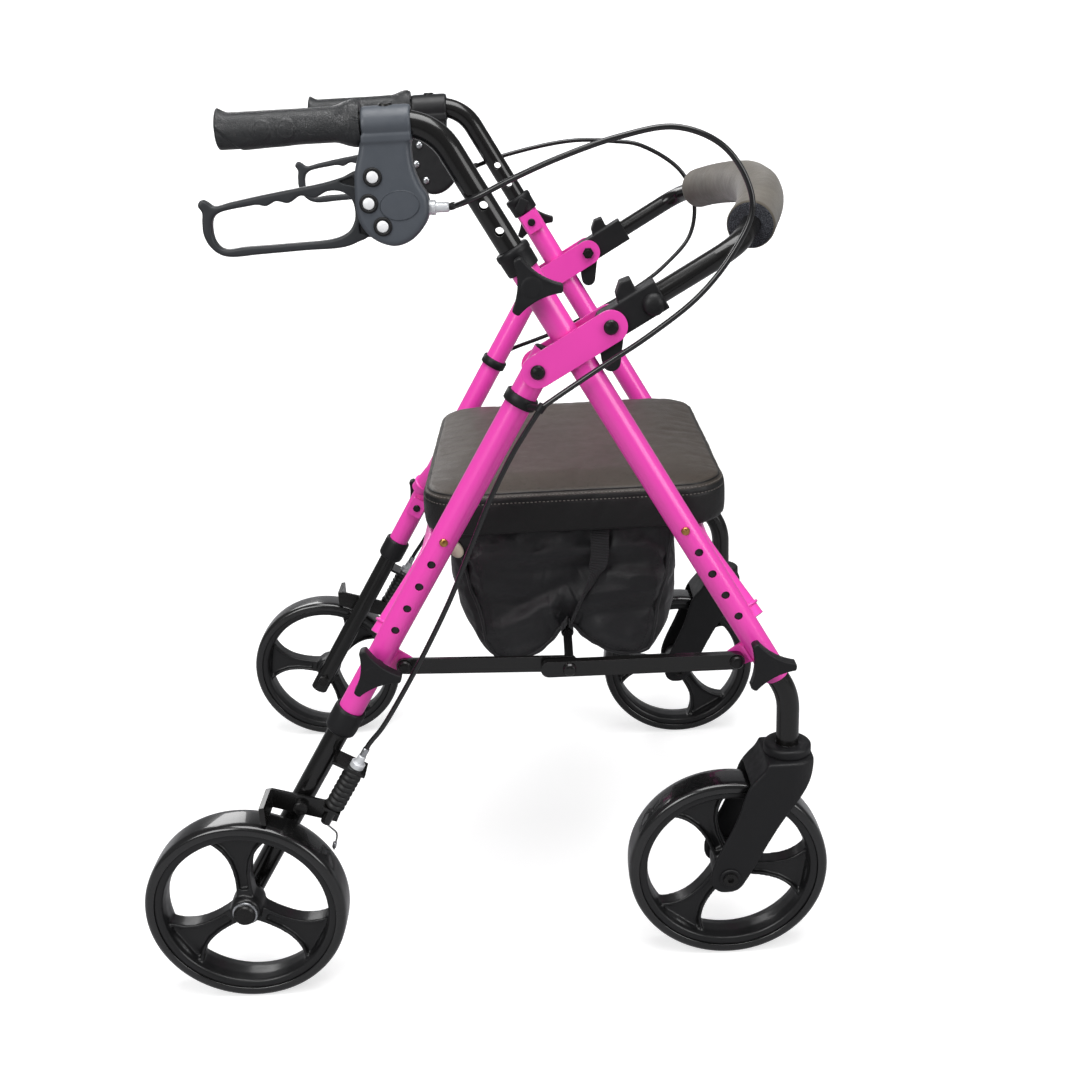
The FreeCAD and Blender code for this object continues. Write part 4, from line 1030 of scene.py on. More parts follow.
# opening of the loop, with finger waves along its top
LEVER_INNER = [
    (-189.8, 778.7), (-166.9, 782.6), (-156.0, 783.6), (-149.0, 782.2), (-140.2, 785.8),
    (-129.5, 783.8), (-119.0, 789.2), (-107.0, 787.0), (-95.0, 791.8), (-83.5, 790.8),
    (-76.0, 785.0), (-73.6, 776.8), (-74.6, 766.7), (-80.3, 757.9), (-93.3, 752.2),
    (-131.4, 749.9), (-171.4, 749.0), (-190.5, 748.4), (-196.4, 755.1), (-197.7, 766.7),
    (-195.6, 774.6)]
# small pockets in the lever's outer face, at its front end
LEVER_POCKETS = (
    [(-86.5, 799.0), (-71.5, 803.2), (-70.8, 794.6)],
    [(-70.6, 766.0), (-71.0, 755.6), (-63.6, 753.8), (-64.0, 757.0)])
LEVER_ROOT = [(-73.0, 803.0), (-60, 797), (-46, 778), (-39, 768), (-40, 756), (-47, 750),
              (-66, 751.5), (-68.0, 760.5), (-66, 790)]


def build_levers():
    loop = weld(plate(smooth_outline(LEVER_OUTER), TRACK - 0.0054, TRACK + 0.0054, 0.0020, 4,
                      [smooth_outline(LEVER_INNER)]))
    cutters, floors = [], []
    for table in LEVER_POCKETS:
        outline = mm(round_profile(table, 0.8, 3))
        cutters.append(weld(plate(outline, TRACK + 0.0026, TRACK + 0.0080, 0.0001, 1)))
        floors.append(plate(outline, TRACK + 0.0018, TRACK + 0.0034, 0.0001, 1))
    put_pair(join(floors), "lever_pockets_*", "lever_*", "plastic_black")
    root = plate(mm(round_profile(LEVER_ROOT, 2.0)), TRACK - 0.0050, TRACK - 0.0003, 0.0008, 2)
    part = remeshed(join([cut(loop, cutters), root]), 0.0008, 2)
    put_pair(part, "brake_lever_loop_*", "lever_*", "lever_grey",
             "brake_lever_*")


build_levers()

# ------------------------------------------------------------------ hand grips (mm)
GRIP_REAR, GRIP_FRONT = -183.0, -61.9
GRIP_ROWS, GRIP_SEGS = 150, 96
GRIP_MARKS = (-143.5, -123.0)      # x of the two round marks
# share of the rear rim's size, shift in x (m) of the shallow dish in the rear end
GRIP_DISH = ((0.80, -0.0008), (0.5, 0.0002), (0.25, 0.0004))
TUBE_R = 0.01125                   # outer radius of the handle tube, m


def smoothstep(a, b, x):
    t = max(0.0, min(1.0, (x - a) / (b - a)))
    return t * t * (3 - 2 * t)


def grip_row(x):
    """(y, z) points in mm, from the handle's axis, of the grip's section at x."""
    flare = smoothstep(-86, -66.5, x) * (1 - 0.35 * smoothstep(-65.5, GRIP_FRONT, x))
    top = 16.5 + 0.4 * smoothstep(-110, -86, x) + 4.6 * flare
    waist = 0.5 * math.exp(-((x + 128) / 10.0) ** 2)
    bottom = -14.6 + 2.2 * smoothstep(-168, -112, x) - waist - 4.6 * flare
    width = 14.4 + 0.6 * smoothstep(-120, -90, x) + 2.2 * flare
    # rounded rear end
    from_end = (x - GRIP_REAR) / 2.5
    size = 1.0
    if from_end < 1:
        size = math.sqrt(max(0.0, 1 - (1 - from_end) ** 2)) * 0.14 + 0.86
    power = 2.25           # of the rounded-square section
    row = []
    for k in range(GRIP_SEGS):
        a = 2 * math.pi * k / GRIP_SEGS
        across, up = math.cos(a), math.sin(a)
        norm = (abs(across) ** power + abs(up) ** power) ** (1 / power)
        y = width * across / norm * size
        z = (top if up > 0 else -bottom) * up / norm * size
        r = math.hypot(y, z)
        # slanted step round the rear end
        step = (x + 177.5) + z * 0.95
        sink = 1.0 * math.exp(-(step / 0.8) ** 2)
        sink += 1.1 * (1 - smoothstep(-1.2, 0.6, step)) * smoothstep(-8.0, -1.0, -z)
        # turned-up corner on top of the rear end
        if z > 0:
            rise = 1 - smoothstep(GRIP_REAR, -172.0, x)
            sink -= 4.2 * rise * (z / 16.5) ** 2 * (1 - abs(across))
        # round marks raised on the side faces
        for mark in GRIP_MARKS:
            share = math.hypot(x - mark, z - 1.0) / 8.6
            if abs(across) > 0.3 and share < 1.3:
                disc = 0.85 * (1 - smoothstep(0.80, 1.05, share))
                sink -= disc - 0.45 * math.exp(-((share - 0.66) / 0.08) ** 2)
        # ring groove near the front lip
        sink += 0.25 * math.exp(-((x + 71.0) / 0.7) ** 2)
        new_r = max(11.3, r - sink)
        row.append((y * new_r / r, z * new_r / r))
    return row


def grip():
    verts = []
    for i in range(GRIP_ROWS):
        x = GRIP_REAR + (GRIP_FRONT - GRIP_REAR) * (i / (GRIP_ROWS - 1))
        verts += [Vector((x * MM, TRACK + y * MM, HANDLE_Z + z * MM)) for y, z in grip_row(x)]
    faces = grid_faces(GRIP_ROWS, GRIP_SEGS)
    ring = 0
    for share, shift in GRIP_DISH:
        start = len(verts)
        for p in verts[:GRIP_SEGS]:
            verts.append(Vector((p.x + shift, TRACK + (p.y - TRACK) * share,
                                 HANDLE_Z + (p.z - HANDLE_Z) * share)))
        faces += strip(ring, start, GRIP_SEGS)
        ring = start
    faces.append(tuple(ring + k for k in range(GRIP_SEGS)))
    # front lip face down to the tube
    start, last = len(verts), (GRIP_ROWS - 1) * GRIP_SEGS
    for p in verts[last:last + GRIP_SEGS]:
        out = Vector((0, p.y - TRACK, p.z - HANDLE_Z)).normalized()
        verts.append(Vector((p.x - 0.0012, TRACK + out.y * TUBE_R, HANDLE_Z + out.z * TUBE_R)))
    faces += strip(last, start, GRIP_SEGS)
    return mesh_from(verts, faces, 50)


put_pair(grip(), "grip_moulded_*", "handle_*", "grip_rubber", replaced="grip_*")

# ------------------------------------------------------------------ lower ends of the brakes
BELLOWS_START, BELLOWS_END = 434.6, 482.4      # mm down the rear tube
BELLOWS_FOLDS, FOLD_STEPS = 8, 8
WIRE_BEND, WIRE_END = Vector((-0.1500, 0.262, 0.170)), Vector((-0.1548, 0.262, 0.1515))


def build_bellows():
    profile = [(BELLOWS_START, 6.8)]
    steps = BELLOWS_FOLDS * FOLD_STEPS
    for i in range(steps + 1):
        t = BELLOWS_START + (BELLOWS_END - BELLOWS_START) * i / steps
        profile.append((t, 8.5 + 1.5 * abs(math.sin(math.pi * i / FOLD_STEPS)) ** 0.8))
    profile += [(BELLOWS_END, 6.8), (BELLOWS_END - 2, 0.0)]
    part = lathe(mm((t - 431.5, r) for t, r in profile), on_lower_cable(CABLE_ANCHOR),
                 REAR_DIR, 48, 60)
    pair = put_pair(part, "spring_bellows_*", "rear_leg_*", "bellows_black",
                    "brake_spring_cover_*")
    # each bellows gets a mesh of its own
    for piece, (side, sign) in zip(pair, SIDES):
        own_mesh(piece)


def build_lower_adjuster():
    anchor = on_lower_cable(CABLE_ANCHOR)
    barrel = lathe([(-0.0148, 0.0), (-0.0148, 0.0030), (-0.0140, 0.0040), (-0.0085, 0.0043),
                    (0.0040, 0.0043)], anchor, REAR_DIR, 36, 35)
    nut_r = 0.0072
    nut = lathe([(-0.0062, nut_r * 0.86), (-0.0056, nut_r), (-0.0006, nut_r),
                 (0.0, nut_r * 0.86)], anchor, REAR_DIR, 24, 30, capped=True)
    put_pair(join([barrel, nut]), "barrel_adjuster_lower_*", "rear_leg_*", "zinc_bright")


def build_lower_wire():
    """Inner cable below the bellows, with its crimp."""
    start = on_lower_cable(0.5030)
    points = [start - REAR_DIR * 0.010, start, (start + WIRE_BEND) / 2, WIRE_BEND, WIRE_END]
    put_pair(tube(catmull(points, 6), 0.0009, 10), "inner_cable_lower_*", "brake_arm_*",
             "wire_steel")
    crimp = lathe([(0, 0.0), (0, 0.0016), (0.0005, 0.0021), (0.0060, 0.0021),
                   (0.0066, 0.0016), (0.0066, 0.0)],
                  (-0.1528, CABLE_Y, 0.1598), WIRE_END - WIRE_BEND, 20, 40)
    put_pair(crimp, "inner_cable_crimp_*", "brake_arm_*", "steel_zinc")


def build_pivot_cap():
    part = lathe([(0.0, 0.0), (0.0, 0.0062), (0.0008, 0.0070), (0.0030, 0.0070),
                  (0.0040, 0.0058), (0.0044, 0.0)], (-0.1832, 0.2600, 0.2004),
                 SIDEWAYS, 32, 40)
    put_pair(part, "brake_pivot_cap_*", "rear_leg_*", "steel_black")


build_bellows()
build_lower_adjuster()
build_lower_wire()
build_pivot_cap()

# ------------------------------------------------------------------ backrest
BRACKET_CAP = [(10.0, 10.2), (12.6, 10.2), (13.4, 9.6), (14.6, 9.0), (16.2, 7.4),
               (17.2, 4.6), (17.6, 2.0), (17.7, 0.0)]
part = soften("backrest_brackets", 0.0009, 3)
put(part, "backrest_bracket_mouldings", "backrest", "plastic_black",
    replaced="backrest_brackets")
part = lathe(mm(BRACKET_CAP), (0.1792, TRACK, 0.6830), SIDEWAYS, 56, 50)
put_pair(part, "bracket_cap_*", "backrest", "plastic_black")

# The padded bar bows forward in a plane that rises forward from BACK_BASE.
BACK_BASE = Vector((0.1414, 0, 0.6660))
BACK_COS, BACK_SIN = math.cos(math.radians(29)), math.sin(math.radians(29))
BOW_REACH, BOW_SIDE = 0.187, 0.150     # distance up the plane at the middle and the ends
FOAM_HALF = 0.190                      # half length of the foam along y
BOW_DEPTH = BOW_REACH - BOW_SIDE
BOW_RADIUS = (FOAM_HALF ** 2 + BOW_DEPTH ** 2) / (2 * BOW_DEPTH)
FOAM_R, FOAM_BORE = 0.0220, 0.0096
FOAM_STEPS, BORE_STEPS, FOAM_SEGS = 150, 30, 64
# rows of each cut end: distance in from the end, radius, bulge along the bar
FOAM_END = [(0.0, FOAM_BORE, 0.0), (0.0, 0.0150, 0.0004), (0.0, 0.0208, 0.0),
            (0.0012, 0.0219, 0.0)]


def foam_sleeve():
    rows = [(-FOAM_HALF + inset, r, bulge) for inset, r, bulge in FOAM_END]
    rows += [(-FOAM_HALF + 2 * FOAM_HALF * i / FOAM_STEPS, FOAM_R, 0.0)
             for i in range(1, FOAM_STEPS)]
    rows += [(FOAM_HALF - inset, r, -bulge) for inset, r, bulge in reversed(FOAM_END)]
    outer = len(rows)
    # the bore follows the bow back to the start
    rows += [(FOAM_HALF - 2 * FOAM_HALF * i / BORE_STEPS, FOAM_BORE, 0.0)
             for i in range(1, BORE_STEPS)]
    verts = []
    for y, r, bulge in rows:
        rise = math.sqrt(BOW_RADIUS ** 2 - y ** 2)
        up_plane = BOW_REACH - BOW_RADIUS + rise
        centre = Vector((BACK_BASE.x + up_plane * BACK_COS, y,
                         BACK_BASE.z + up_plane * BACK_SIN))
        slope = -y / rise
        tangent = Vector((slope * BACK_COS, 1, slope * BACK_SIN)).normalized()
        across = Vector((-BACK_SIN, 0, BACK_COS))
        up = tangent.cross(across).normalized()
        for k in range(FOAM_SEGS):
            out = spoke(across, up, k, FOAM_SEGS)
            p = centre + tangent * bulge + out * r
            if r > 0.0215:
                p += out * (0.0007 * noise.noise(p * 22) + 0.00018 * noise.noise(p * 140))
            verts.append(p)
    part = mesh_from(verts, grid_faces(len(rows), FOAM_SEGS, True), 55)
    dress(part, "backrest_foam_sleeve", "foam_taupe")
    part.data.materials.append(MATS["foam_cut"])
    for i, polygon in enumerate(part.data.polygons):
        row = i // FOAM_SEGS
        if row < 2 or row >= outer - 3:
            polygon.material_index = 1
    return part


part = foam_sleeve()
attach(part, "backrest")
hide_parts("backrest_foam")


# ------------------------------------------------------------------ cloth and sewing
def simulate(part, pin, pressure, shrink, frames, cap, tension, bending, keep):
    """Inflates the mesh as cloth and bakes the result into it.

    pin holds a weight for each vertex. No vertex moves more than cap, and
    keep(moved, rest) has the last word on where they end.
    """
    rest = coords(part)
    group = part.vertex_groups.new(name="pin")
    for i, weight in enumerate(pin):
        if weight > 0:
            group.add([i], float(weight), "REPLACE")
    cloth = part.modifiers.new("cloth", "CLOTH")
    settings = cloth.settings
    settings.quality = 5
    settings.mass = 0.25
    settings.tension_stiffness = settings.compression_stiffness = tension
    settings.shear_stiffness = 5
    settings.bending_stiffness = bending
    settings.use_pressure = True
    settings.uniform_pressure_force = pressure
    settings.vertex_group_mass = "pin"
    settings.pin_stiffness = 1.0
    settings.shrink_min = shrink
    settings.effector_weights.gravity = 0.0
    cloth.collision_settings.use_self_collision = False
    cloth.point_cache.frame_start = SCENE.frame_start = 1
    cloth.point_cache.frame_end = SCENE.frame_end = frames
    for i in range(1, frames + 1):
        SCENE.frame_set(i)
    mesh = evaluated(part)
    move = np.array([v.co for v in mesh.vertices], float) - rest
    length = np.linalg.norm(move, axis=1)
    share = np.where(length > cap, cap / np.maximum(length, 1e-9), 1.0)
    co = keep(rest + move * share[:, None], rest)
    part.modifiers.remove(cloth)
    SCENE.frame_set(1)
    set_coords(part, co)


def noise_field(co, scale, shift=0.0):
    """Noise at each vertex, its place scaled per axis and shifted in x."""
    sx, sy, sz = scale
    return np.array([noise.noise(Vector((x * sx + shift, y * sy, z * sz))) for x, y, z in co])


def tree_of(part):
    bm = bmesh.new()
    bm.from_mesh(part.data)
    tree = BVHTree.FromBMesh(bm)
    bm.free()
    return tree


def on_surface(tree, point, normal, reach=0.03):
    """The surface point and normal met coming in along -normal, or those given on a miss."""
    point, normal = Vector(point), Vector(normal)
    hit, hit_normal, _, _ = tree.ray_cast(point + normal * reach, -normal, reach * 2.2)
    return (point, normal) if hit is None else (hit, hit_normal)


# a thread's stations: share of its length, share of its radius, lift in radii
THREAD = [(-0.5, 0.0, -0.6), (-0.42, 0.75, 0.1), (-0.2, 1.0, 0.5), (0.2, 1.0, 0.5),
          (0.42, 0.75, 0.1), (0.5, 0.0, -0.6)]


def stitches(threads, radius):
    """Short threads, each given as (start, end, surface normal)."""
    verts, faces = [], []
    for start, end, normal in threads:
        along = end - start
        length = along.length
        if length < 1e-6:
            continue
        along.normalize()
        across = along.cross(normal).normalized()
        centre = (start + end) / 2
        rings = []
        for place, size, lift in THREAD:
            first = len(verts)
            middle = centre + along * place * length
            if size == 0:
                verts.append(middle + normal * radius * lift)
            else:
                verts += [middle + spoke(across, normal, k, 6) * radius * size
                          + normal * radius * lift for k in range(6)]
            rings.append(list(range(first, len(verts))))
        faces += skin(rings)
    return mesh_from(verts, faces, 0)


# ------------------------------------------------------------------ seat cushion
SEAT_REAR, SEAT_FRONT, SEAT_HALF, SEAT_CORNER = -0.0475, 0.2575, 0.1785, 0.047
SEAT_LOW = 0.4492
# rings from the bottom up: inset from the outline, height
CUSHION_RINGS = [
    (0.012, SEAT_LOW), (0.0035, SEAT_LOW + 0.0002), (0.0008, SEAT_LOW + 0.0020),
    (0.0, SEAT_LOW + 0.006), (0.0, 0.463), (0.0, 0.475), (0.0004, 0.4845),
    (0.0020, 0.4896), (0.0054, 0.4928), (0.012, 0.4941)]


def seat_ring(step):
    """Closed ring (x, y, outward normal x, y) round the seat's outline."""
    x0, x1, h, r = SEAT_REAR, SEAT_FRONT, SEAT_HALF, SEAT_CORNER
    points = []
    for cx, cy, start in ((x1 - r, h - r, 0), (x0 + r, h - r, 90), (x0 + r, -h + r, 180),
                          (x1 - r, -h + r, 270)):
        for k in range(19):
            a = math.radians(start + 5 * k)
            points.append((cx + r * math.cos(a), cy + r * math.sin(a), math.cos(a), math.sin(a)))
    ring = []
    for i, p in enumerate(points):
        q = points[(i + 1) % len(points)]
        pieces = max(1, int(round(math.hypot(q[0] - p[0], q[1] - p[1]) / step)))
        for k in range(pieces):
            t = k / pieces
            x, y, nx, ny = (a * (1 - t) + b * t for a, b in zip(p, q))
            length = math.hypot(nx, ny)
            ring.append((x, y, nx / length, ny / length))
    return ring


def seat_inset(co):
    """Distance of each vertex in from the seat's outline."""
    x, y = co[:, 0], co[:, 1]
    dx = np.minimum(x - SEAT_REAR, SEAT_FRONT - x)
    dy = SEAT_HALF - np.abs(y)
    qx, qy = SEAT_CORNER - dx, SEAT_CORNER - dy
    to_arc = SEAT_CORNER - np.hypot(np.maximum(qx, 0), np.maximum(qy, 0))
    return np.where((qx > 0) & (qy > 0), to_arc, np.minimum(dx, dy))


def cushion_block():
    bm = bmesh.new()
    outline = seat_ring(0.006)
    previous = None
    for inset, z in CUSHION_RINGS:
        ring = [bm.verts.new((x - nx * inset, y - ny * inset, z)) for x, y, nx, ny in outline]
        if previous:
            for i in range(len(ring)):
                j = (i + 1) % len(ring)
                bm.faces.new((previous[i], previous[j], ring[j], ring[i]))
        else:
            bm.faces.new(list(reversed(ring)))
        previous = ring
    bm.faces.new(previous)
    bmesh.ops.recalc_face_normals(bm, faces=bm.faces)
    mesh = bpy.data.meshes.new("part")
    bm.to_mesh(mesh)
    bm.free()
    return remeshed(add(mesh), 0.0048, 2)


def keep_cushion(moved, rest):
    """Limits the crown's height, holds the bottom, and lets the sides bulge a little."""
    out = moved.copy()
    out[:, 2] = np.where(rest[:, 2] > 0.4885, np.minimum(moved[:, 2], rest[:, 2] + 0.0065),
                         moved[:, 2])
    low = rest[:, 2] < 0.4535
    out[low] = rest[low]
    bulge = out[:, :2] - rest[:, :2]
    length = np.hypot(bulge[:, 0], bulge[:, 1])
    most = 0.0032
    share = np.where(length > most, most / np.maximum(length, 1e-9), 1.0)
    out[:, :2] = rest[:, :2] + bulge * share[:, None]
    return out


def cushion():
    part = cushion_block()
    co = coords(part)
    inset = seat_inset(co)
    pin = np.where(co[:, 2] < 0.4530, 1.0, 0.0)
    # the stitched edge holds the cover in
    edge = (np.abs(co[:, 2] - 0.4915) < 0.004) & (inset < 0.009)
    simulate(part, np.where(edge, 0.55, pin), pressure=3.2, shrink=-0.004, frames=20,
             cap=0.011, tension=14, bending=1.2, keep=keep_cushion)
    part = subdivided(part, 2)
    # seam grooves and small puckers along the two stitched rows
    co = coords(part)
    side = seat_inset(co) < 0.016
    z = co[:, 2]
    upper_groove = np.exp(-((z - 0.4903) / 0.0013) ** 2) * side
    lower_groove = np.exp(-((z - 0.4826) / 0.0011) ** 2) * side
    band = np.exp(-((z - 0.486) / 0.008) ** 2) * side
    puckers = noise_field(co, (90, 90, 30))
    waves = noise_field(co, (14, 11, 14), 3)
    depth = (-0.0008 * upper_groove - 0.0005 * lower_groove + 0.00045 * puckers * band
             + 0.0004 * waves)
    set_coords(part, co + normals(part) * depth[:, None])
    return part


def seat_line(z):
    """Points and normals of the cushion's side, round it at height z."""
    return [on_surface(seat_tree, (x, y, z), (nx, ny, 0)) for x, y, nx, ny in seat_ring(0.003)]


def seat_threads(z, pitch=0.0040, share=0.62):
    """Threads at an even pitch round the cushion, each a share of the pitch long."""
    line = seat_line(z)
    count = len(line)
    places = [0.0]
    for i in range(count):
        places.append(places[-1] + (line[(i + 1) % count][0] - line[i][0]).length)
    total = places[-1]
    places = np.array(places)

    def at(s):
        s = s % total
        i = min(max(int(np.searchsorted(places, s, "right")) - 1, 0), count - 1)
        t = float((s - places[i]) / max(1e-9, places[i + 1] - places[i]))
        (p, p_normal), (q, q_normal) = line[i], line[(i + 1) % count]
        return p.lerp(q, t), p_normal.lerp(q_normal, t).normalized()

    threads = []
    number = int(total / pitch)
    for k in range(number):
        place = total * k / number
        (a, a_normal), (b, b_normal) = at(place), at(place + pitch * share)
        threads.append((a, b, ((a_normal + b_normal) / 2).normalized()))
    return threads


part = cushion()
put(part, "seat_cushion_vinyl", "seat", "seat_vinyl", replaced="seat_cushion")
seat_tree = tree_of(part)
put(stitches(seat_threads(0.4888) + seat_threads(0.4826), 0.00046),
    "seat_stitching", "seat", "thread")
# thin welt just above the upper row
part = tube([p - normal * 0.0005 for p, normal in seat_line(0.4914)], 0.0010, 10, True)
put(part, "seat_welt", "seat", "vinyl_welt")

# ------------------------------------------------------------------ storage bag
BAG_HALF = 0.149       # half width of the bag along y
BAG = [(-22, 447.0), (206, 447.0), (206, 420), (200, 388), (191, 345), (184.5, 312),
       (180, 301), (172, 296.5), (146, 295.5), (130, 301.5), (104, 318), (97, 331), (88, 331),
       (82, 318), (66, 304), (50, 295.5), (38, 293.5), (22, 293.5), (14, 299), (5.0, 316),
       (-8, 368), (-18, 415)]
# line of stitching on the side panels
BAG_SEAM = [(8, 440), (4, 412), (9, 372), (18, 328), (26, 307), (40, 304), (52, 308),
            (70, 318), (92, 338), (112, 326), (134, 312), (150, 306), (166, 306), (172, 318),
            (178, 345), (186, 388), (190, 425), (190, 440)]
# soft folds of the side panels: x and z of both ends, width, height (below 0 for a hollow)
BAG_FOLDS = [
    (0.010, 0.330, 0.090, 0.368, 0.010, 0.0040), (0.085, 0.362, 0.190, 0.378, 0.012, 0.0038),
    (0.030, 0.352, 0.100, 0.388, 0.007, -0.0025), (-0.010, 0.402, 0.060, 0.392, 0.012, 0.0026),
    (0.115, 0.335, 0.175, 0.312, 0.012, 0.0030), (0.110, 0.350, 0.185, 0.352, 0.007, -0.0022),
    (0.020, 0.305, 0.075, 0.335, 0.012, 0.0032), (0.000, 0.414, 0.185, 0.424, 0.009, 0.0036),
    (0.020, 0.398, 0.190, 0.402, 0.008, -0.0026), (0.135, 0.395, 0.198, 0.380, 0.010, 0.0034),
    (0.005, 0.372, 0.075, 0.352, 0.009, -0.0030)]
ROD_X, ROD_Z = 0.092, 0.3354       # cross rod between the links


def bag_block():
    ring = round_profile(mm(BAG), 0.006, 3)
    bm = bmesh.new()
    right = [bm.verts.new((x, -BAG_HALF, z)) for x, z in ring]
    left = [bm.verts.new((x, BAG_HALF, z)) for x, z in ring]
    bm.faces.new(right)
    bm.faces.new(list(reversed(left)))
    for i in range(len(ring)):
        j = (i + 1) % len(ring)
        bm.faces.new((right[i], left[i], left[j], right[j]))
    bmesh.ops.recalc_face_normals(bm, faces=bm.faces)
    bmesh.ops.triangulate(bm, faces=bm.faces)
    mesh = bpy.data.meshes.new("part")
    bm.to_mesh(mesh)
    bm.free()
    return remeshed(add(mesh), 0.0052, 1)


def keep_bag(moved, _rest):
    """Keeps the bag in its space, behind the front cross tube and round the cross rod."""
    out = moved.copy()
    out[:, 1] = np.clip(out[:, 1], -0.1545, 0.1545)
    out[:, 2] = np.minimum(out[:, 2], 0.4478)
    out[:, 2] = np.maximum(out[:, 2], 0.2895)
    out[:, 0] = np.clip(out[:, 0], -0.0262, 0.2085)
    dx, dz = out[:, 0] - ROD_X, out[:, 2] - ROD_Z
    r = np.hypot(dx, dz)
    clear = 0.0062
    share = np.where(r < clear, clear / np.maximum(r, 1e-6), 1.0)
    out[:, 0] = ROD_X + dx * share
    out[:, 2] = ROD_Z + dz * share
    return out


def fold_height(co, ax, az, bx, bz, width, height):
    length = math.hypot(bx - ax, bz - az)
    ux, uz = (bx - ax) / length, (bz - az) / length
    x, z = co[:, 0] - ax, co[:, 2] - az
    along, across = x * ux + z * uz, x * (-uz) + z * ux
    share = np.clip(along / length, 0.02, 0.98)
    inside = (along > -0.01) & (along < length + 0.01)
    return height * np.exp(-(across / width) ** 2) * np.sin(np.pi * share) ** 0.6 * inside


def bag():
    part = bag_block()
    co = coords(part)
    x, z = co[:, 0], co[:, 2]
    # held along the top, and where it hangs over the cross rod
    pin = np.where(z > 0.4425, 1.0, 0.0)
    over_rod = (np.abs(x - 0.0925) < 0.014) & (z < 0.338) & (z > 0.30)
    simulate(part, np.where(over_rod, 0.8, pin), pressure=2.2, shrink=-0.03, frames=22,
             cap=0.024, tension=6, bending=0.08, keep=keep_bag)
    part = subdivided(part, 2)
    co = coords(part)
    below_top = np.clip((0.443 - co[:, 2]) / 0.02, 0, 1)
    side = np.clip((np.abs(co[:, 1]) - 0.138) / 0.006, 0, 1)
    folds = sum(fold_height(co, *row) for row in BAG_FOLDS)
    coarse = noise_field(co, (26, 14, 34))
    fine = noise_field(co, (70, 60, 80), 9)
    depth = ((1.5 * folds - 0.0044) * side + 0.0032 * coarse + 0.0006 * fine) * below_top
    co += normals(part) * depth[:, None]
    co[:, 1] = np.clip(co[:, 1], -0.1555, 0.1555)
    co[:, 0] = np.minimum(co[:, 0], 0.2075)
    set_coords(part, co)
    return part


def bag_piping(sign):
    """Bound edge round one side panel."""
    corners = [Vector(p) for p in round_profile(mm(BAG), 0.008, 4)]
    points = []
    for i, p in enumerate(corners):
        q = corners[(i + 1) % len(corners)]
        pieces = max(1, int((q - p).length / 0.006))
        for k in range(pieces):
            s = p.lerp(q, k / pieces)
            hit, normal, _, _ = bag_tree.find_nearest(Vector((s.x, sign * 0.150, s.y)))
            points.append(hit + normal * 0.0002)
    # even the line out
    for _ in range(3):
        points = [(points[i - 1] + points[i] * 2 + points[(i + 1) % len(points)]) / 4
                  for i in range(len(points))]
    return tube(points, 0.0021, 10, True)


def bag_threads(sign):
    """Threads along the seam of one side panel."""
    seam = catmull([(x * MM, 0, z * MM) for x, z in BAG_SEAM], 24)
    line = [on_surface(bag_tree, (p.x, sign * 0.150, p.z), (0, sign, 0)) for p in seam]
    threads = []
    walked, following = 0.0, 0.0
    for (p, normal), (q, _) in zip(line[:-2], line[1:-1]):
        walked += (q - p).length
        if walked > following:
            threads.append((p, p + (q - p).normalized() * 0.0022, normal))
            following = walked + 0.0034
    return threads


bag_body = bag()
bag_tree = tree_of(bag_body)
put(bag_body, "storage_bag", "seat", "bag_nylon", replaced="bag")
piping = join([bag_piping(sign) for sign in (-1, 1)])
put(piping, "bag_piping", "seat", "bag_nylon")
bag_seams = stitches(bag_threads(-1) + bag_threads(1), 0.0003)
put(bag_seams, "bag_stitching", "seat", "thread_black")
for piece in (bag_body, piping, bag_seams):
    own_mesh(piece)

# ------------------------------------------------------------------ pull strap
# half section of a band's width and thickness, rounded at its edges
BAND = [(-1, -0.6), (-0.97, 0.6), (-0.86, 1.0), (0, 1.0), (0.86, 1.0), (0.97, 0.6),
        (1, -0.6), (0.86, -1.0), (0, -1.0), (-0.86, -1.0)]
STRAP_Y = -0.1585
# x, y from STRAP_Y, z, width, direction of the width
STRAP = [
    (0.1300, 0.0040, 0.4500, 0.0185, (1, 0, 0)),
    (0.1291, 0.0000, 0.4357, 0.0185, (1, 0, 0)),
    (0.1273, -0.0010, 0.4110, 0.0183, (1, 0, 0.1)),
    (0.1205, -0.0005, 0.3917, 0.0175, (0.66, 0.70, 0.1)),
    (0.1084, 0.0010, 0.3679, 0.0165, (0.42, 0.90, 0)),
    (0.0993, 0.0030, 0.3480, 0.0155, (0.32, 0.94, 0)),
    (0.0962, 0.0035, 0.3405, 0.0150, (0.30, 0.95, 0)),
    (0.0940, 0.0040, 0.3315, 0.0150, (0.30, 0.95, 0))]


def ribbon(points, widths, directions, thick, per):
    """A flat band; its width and the direction of its width are given at each point."""
    curve = catmull(points, per)
    count, stations = len(curve), len(points)
    verts = []
    for i, p in enumerate(curve):
        u = i / (count - 1) * (stations - 1)
        k = min(int(u), stations - 2)
        t = u - k
        t = t * t * (3 - 2 * t)
        width = widths[k] * (1 - t) + widths[k + 1] * t
        wide = Vector(directions[k]).lerp(Vector(directions[k + 1]), t).normalized()
        tangent = (curve[min(i + 1, count - 1)] - curve[max(i - 1, 0)]).normalized()
        wide = (wide - tangent * wide.dot(tangent)).normalized()
        out = tangent.cross(wide)
        verts += [p + wide * a * width / 2 + out * b * thick / 2 for a, b in BAND]
    size = len(BAND)
    faces = grid_faces(count, size)
    faces.append(tuple(range(size)))
    faces.append(tuple((count - 1) * size + k for k in range(size)))
    return mesh_from(verts, faces, 60)


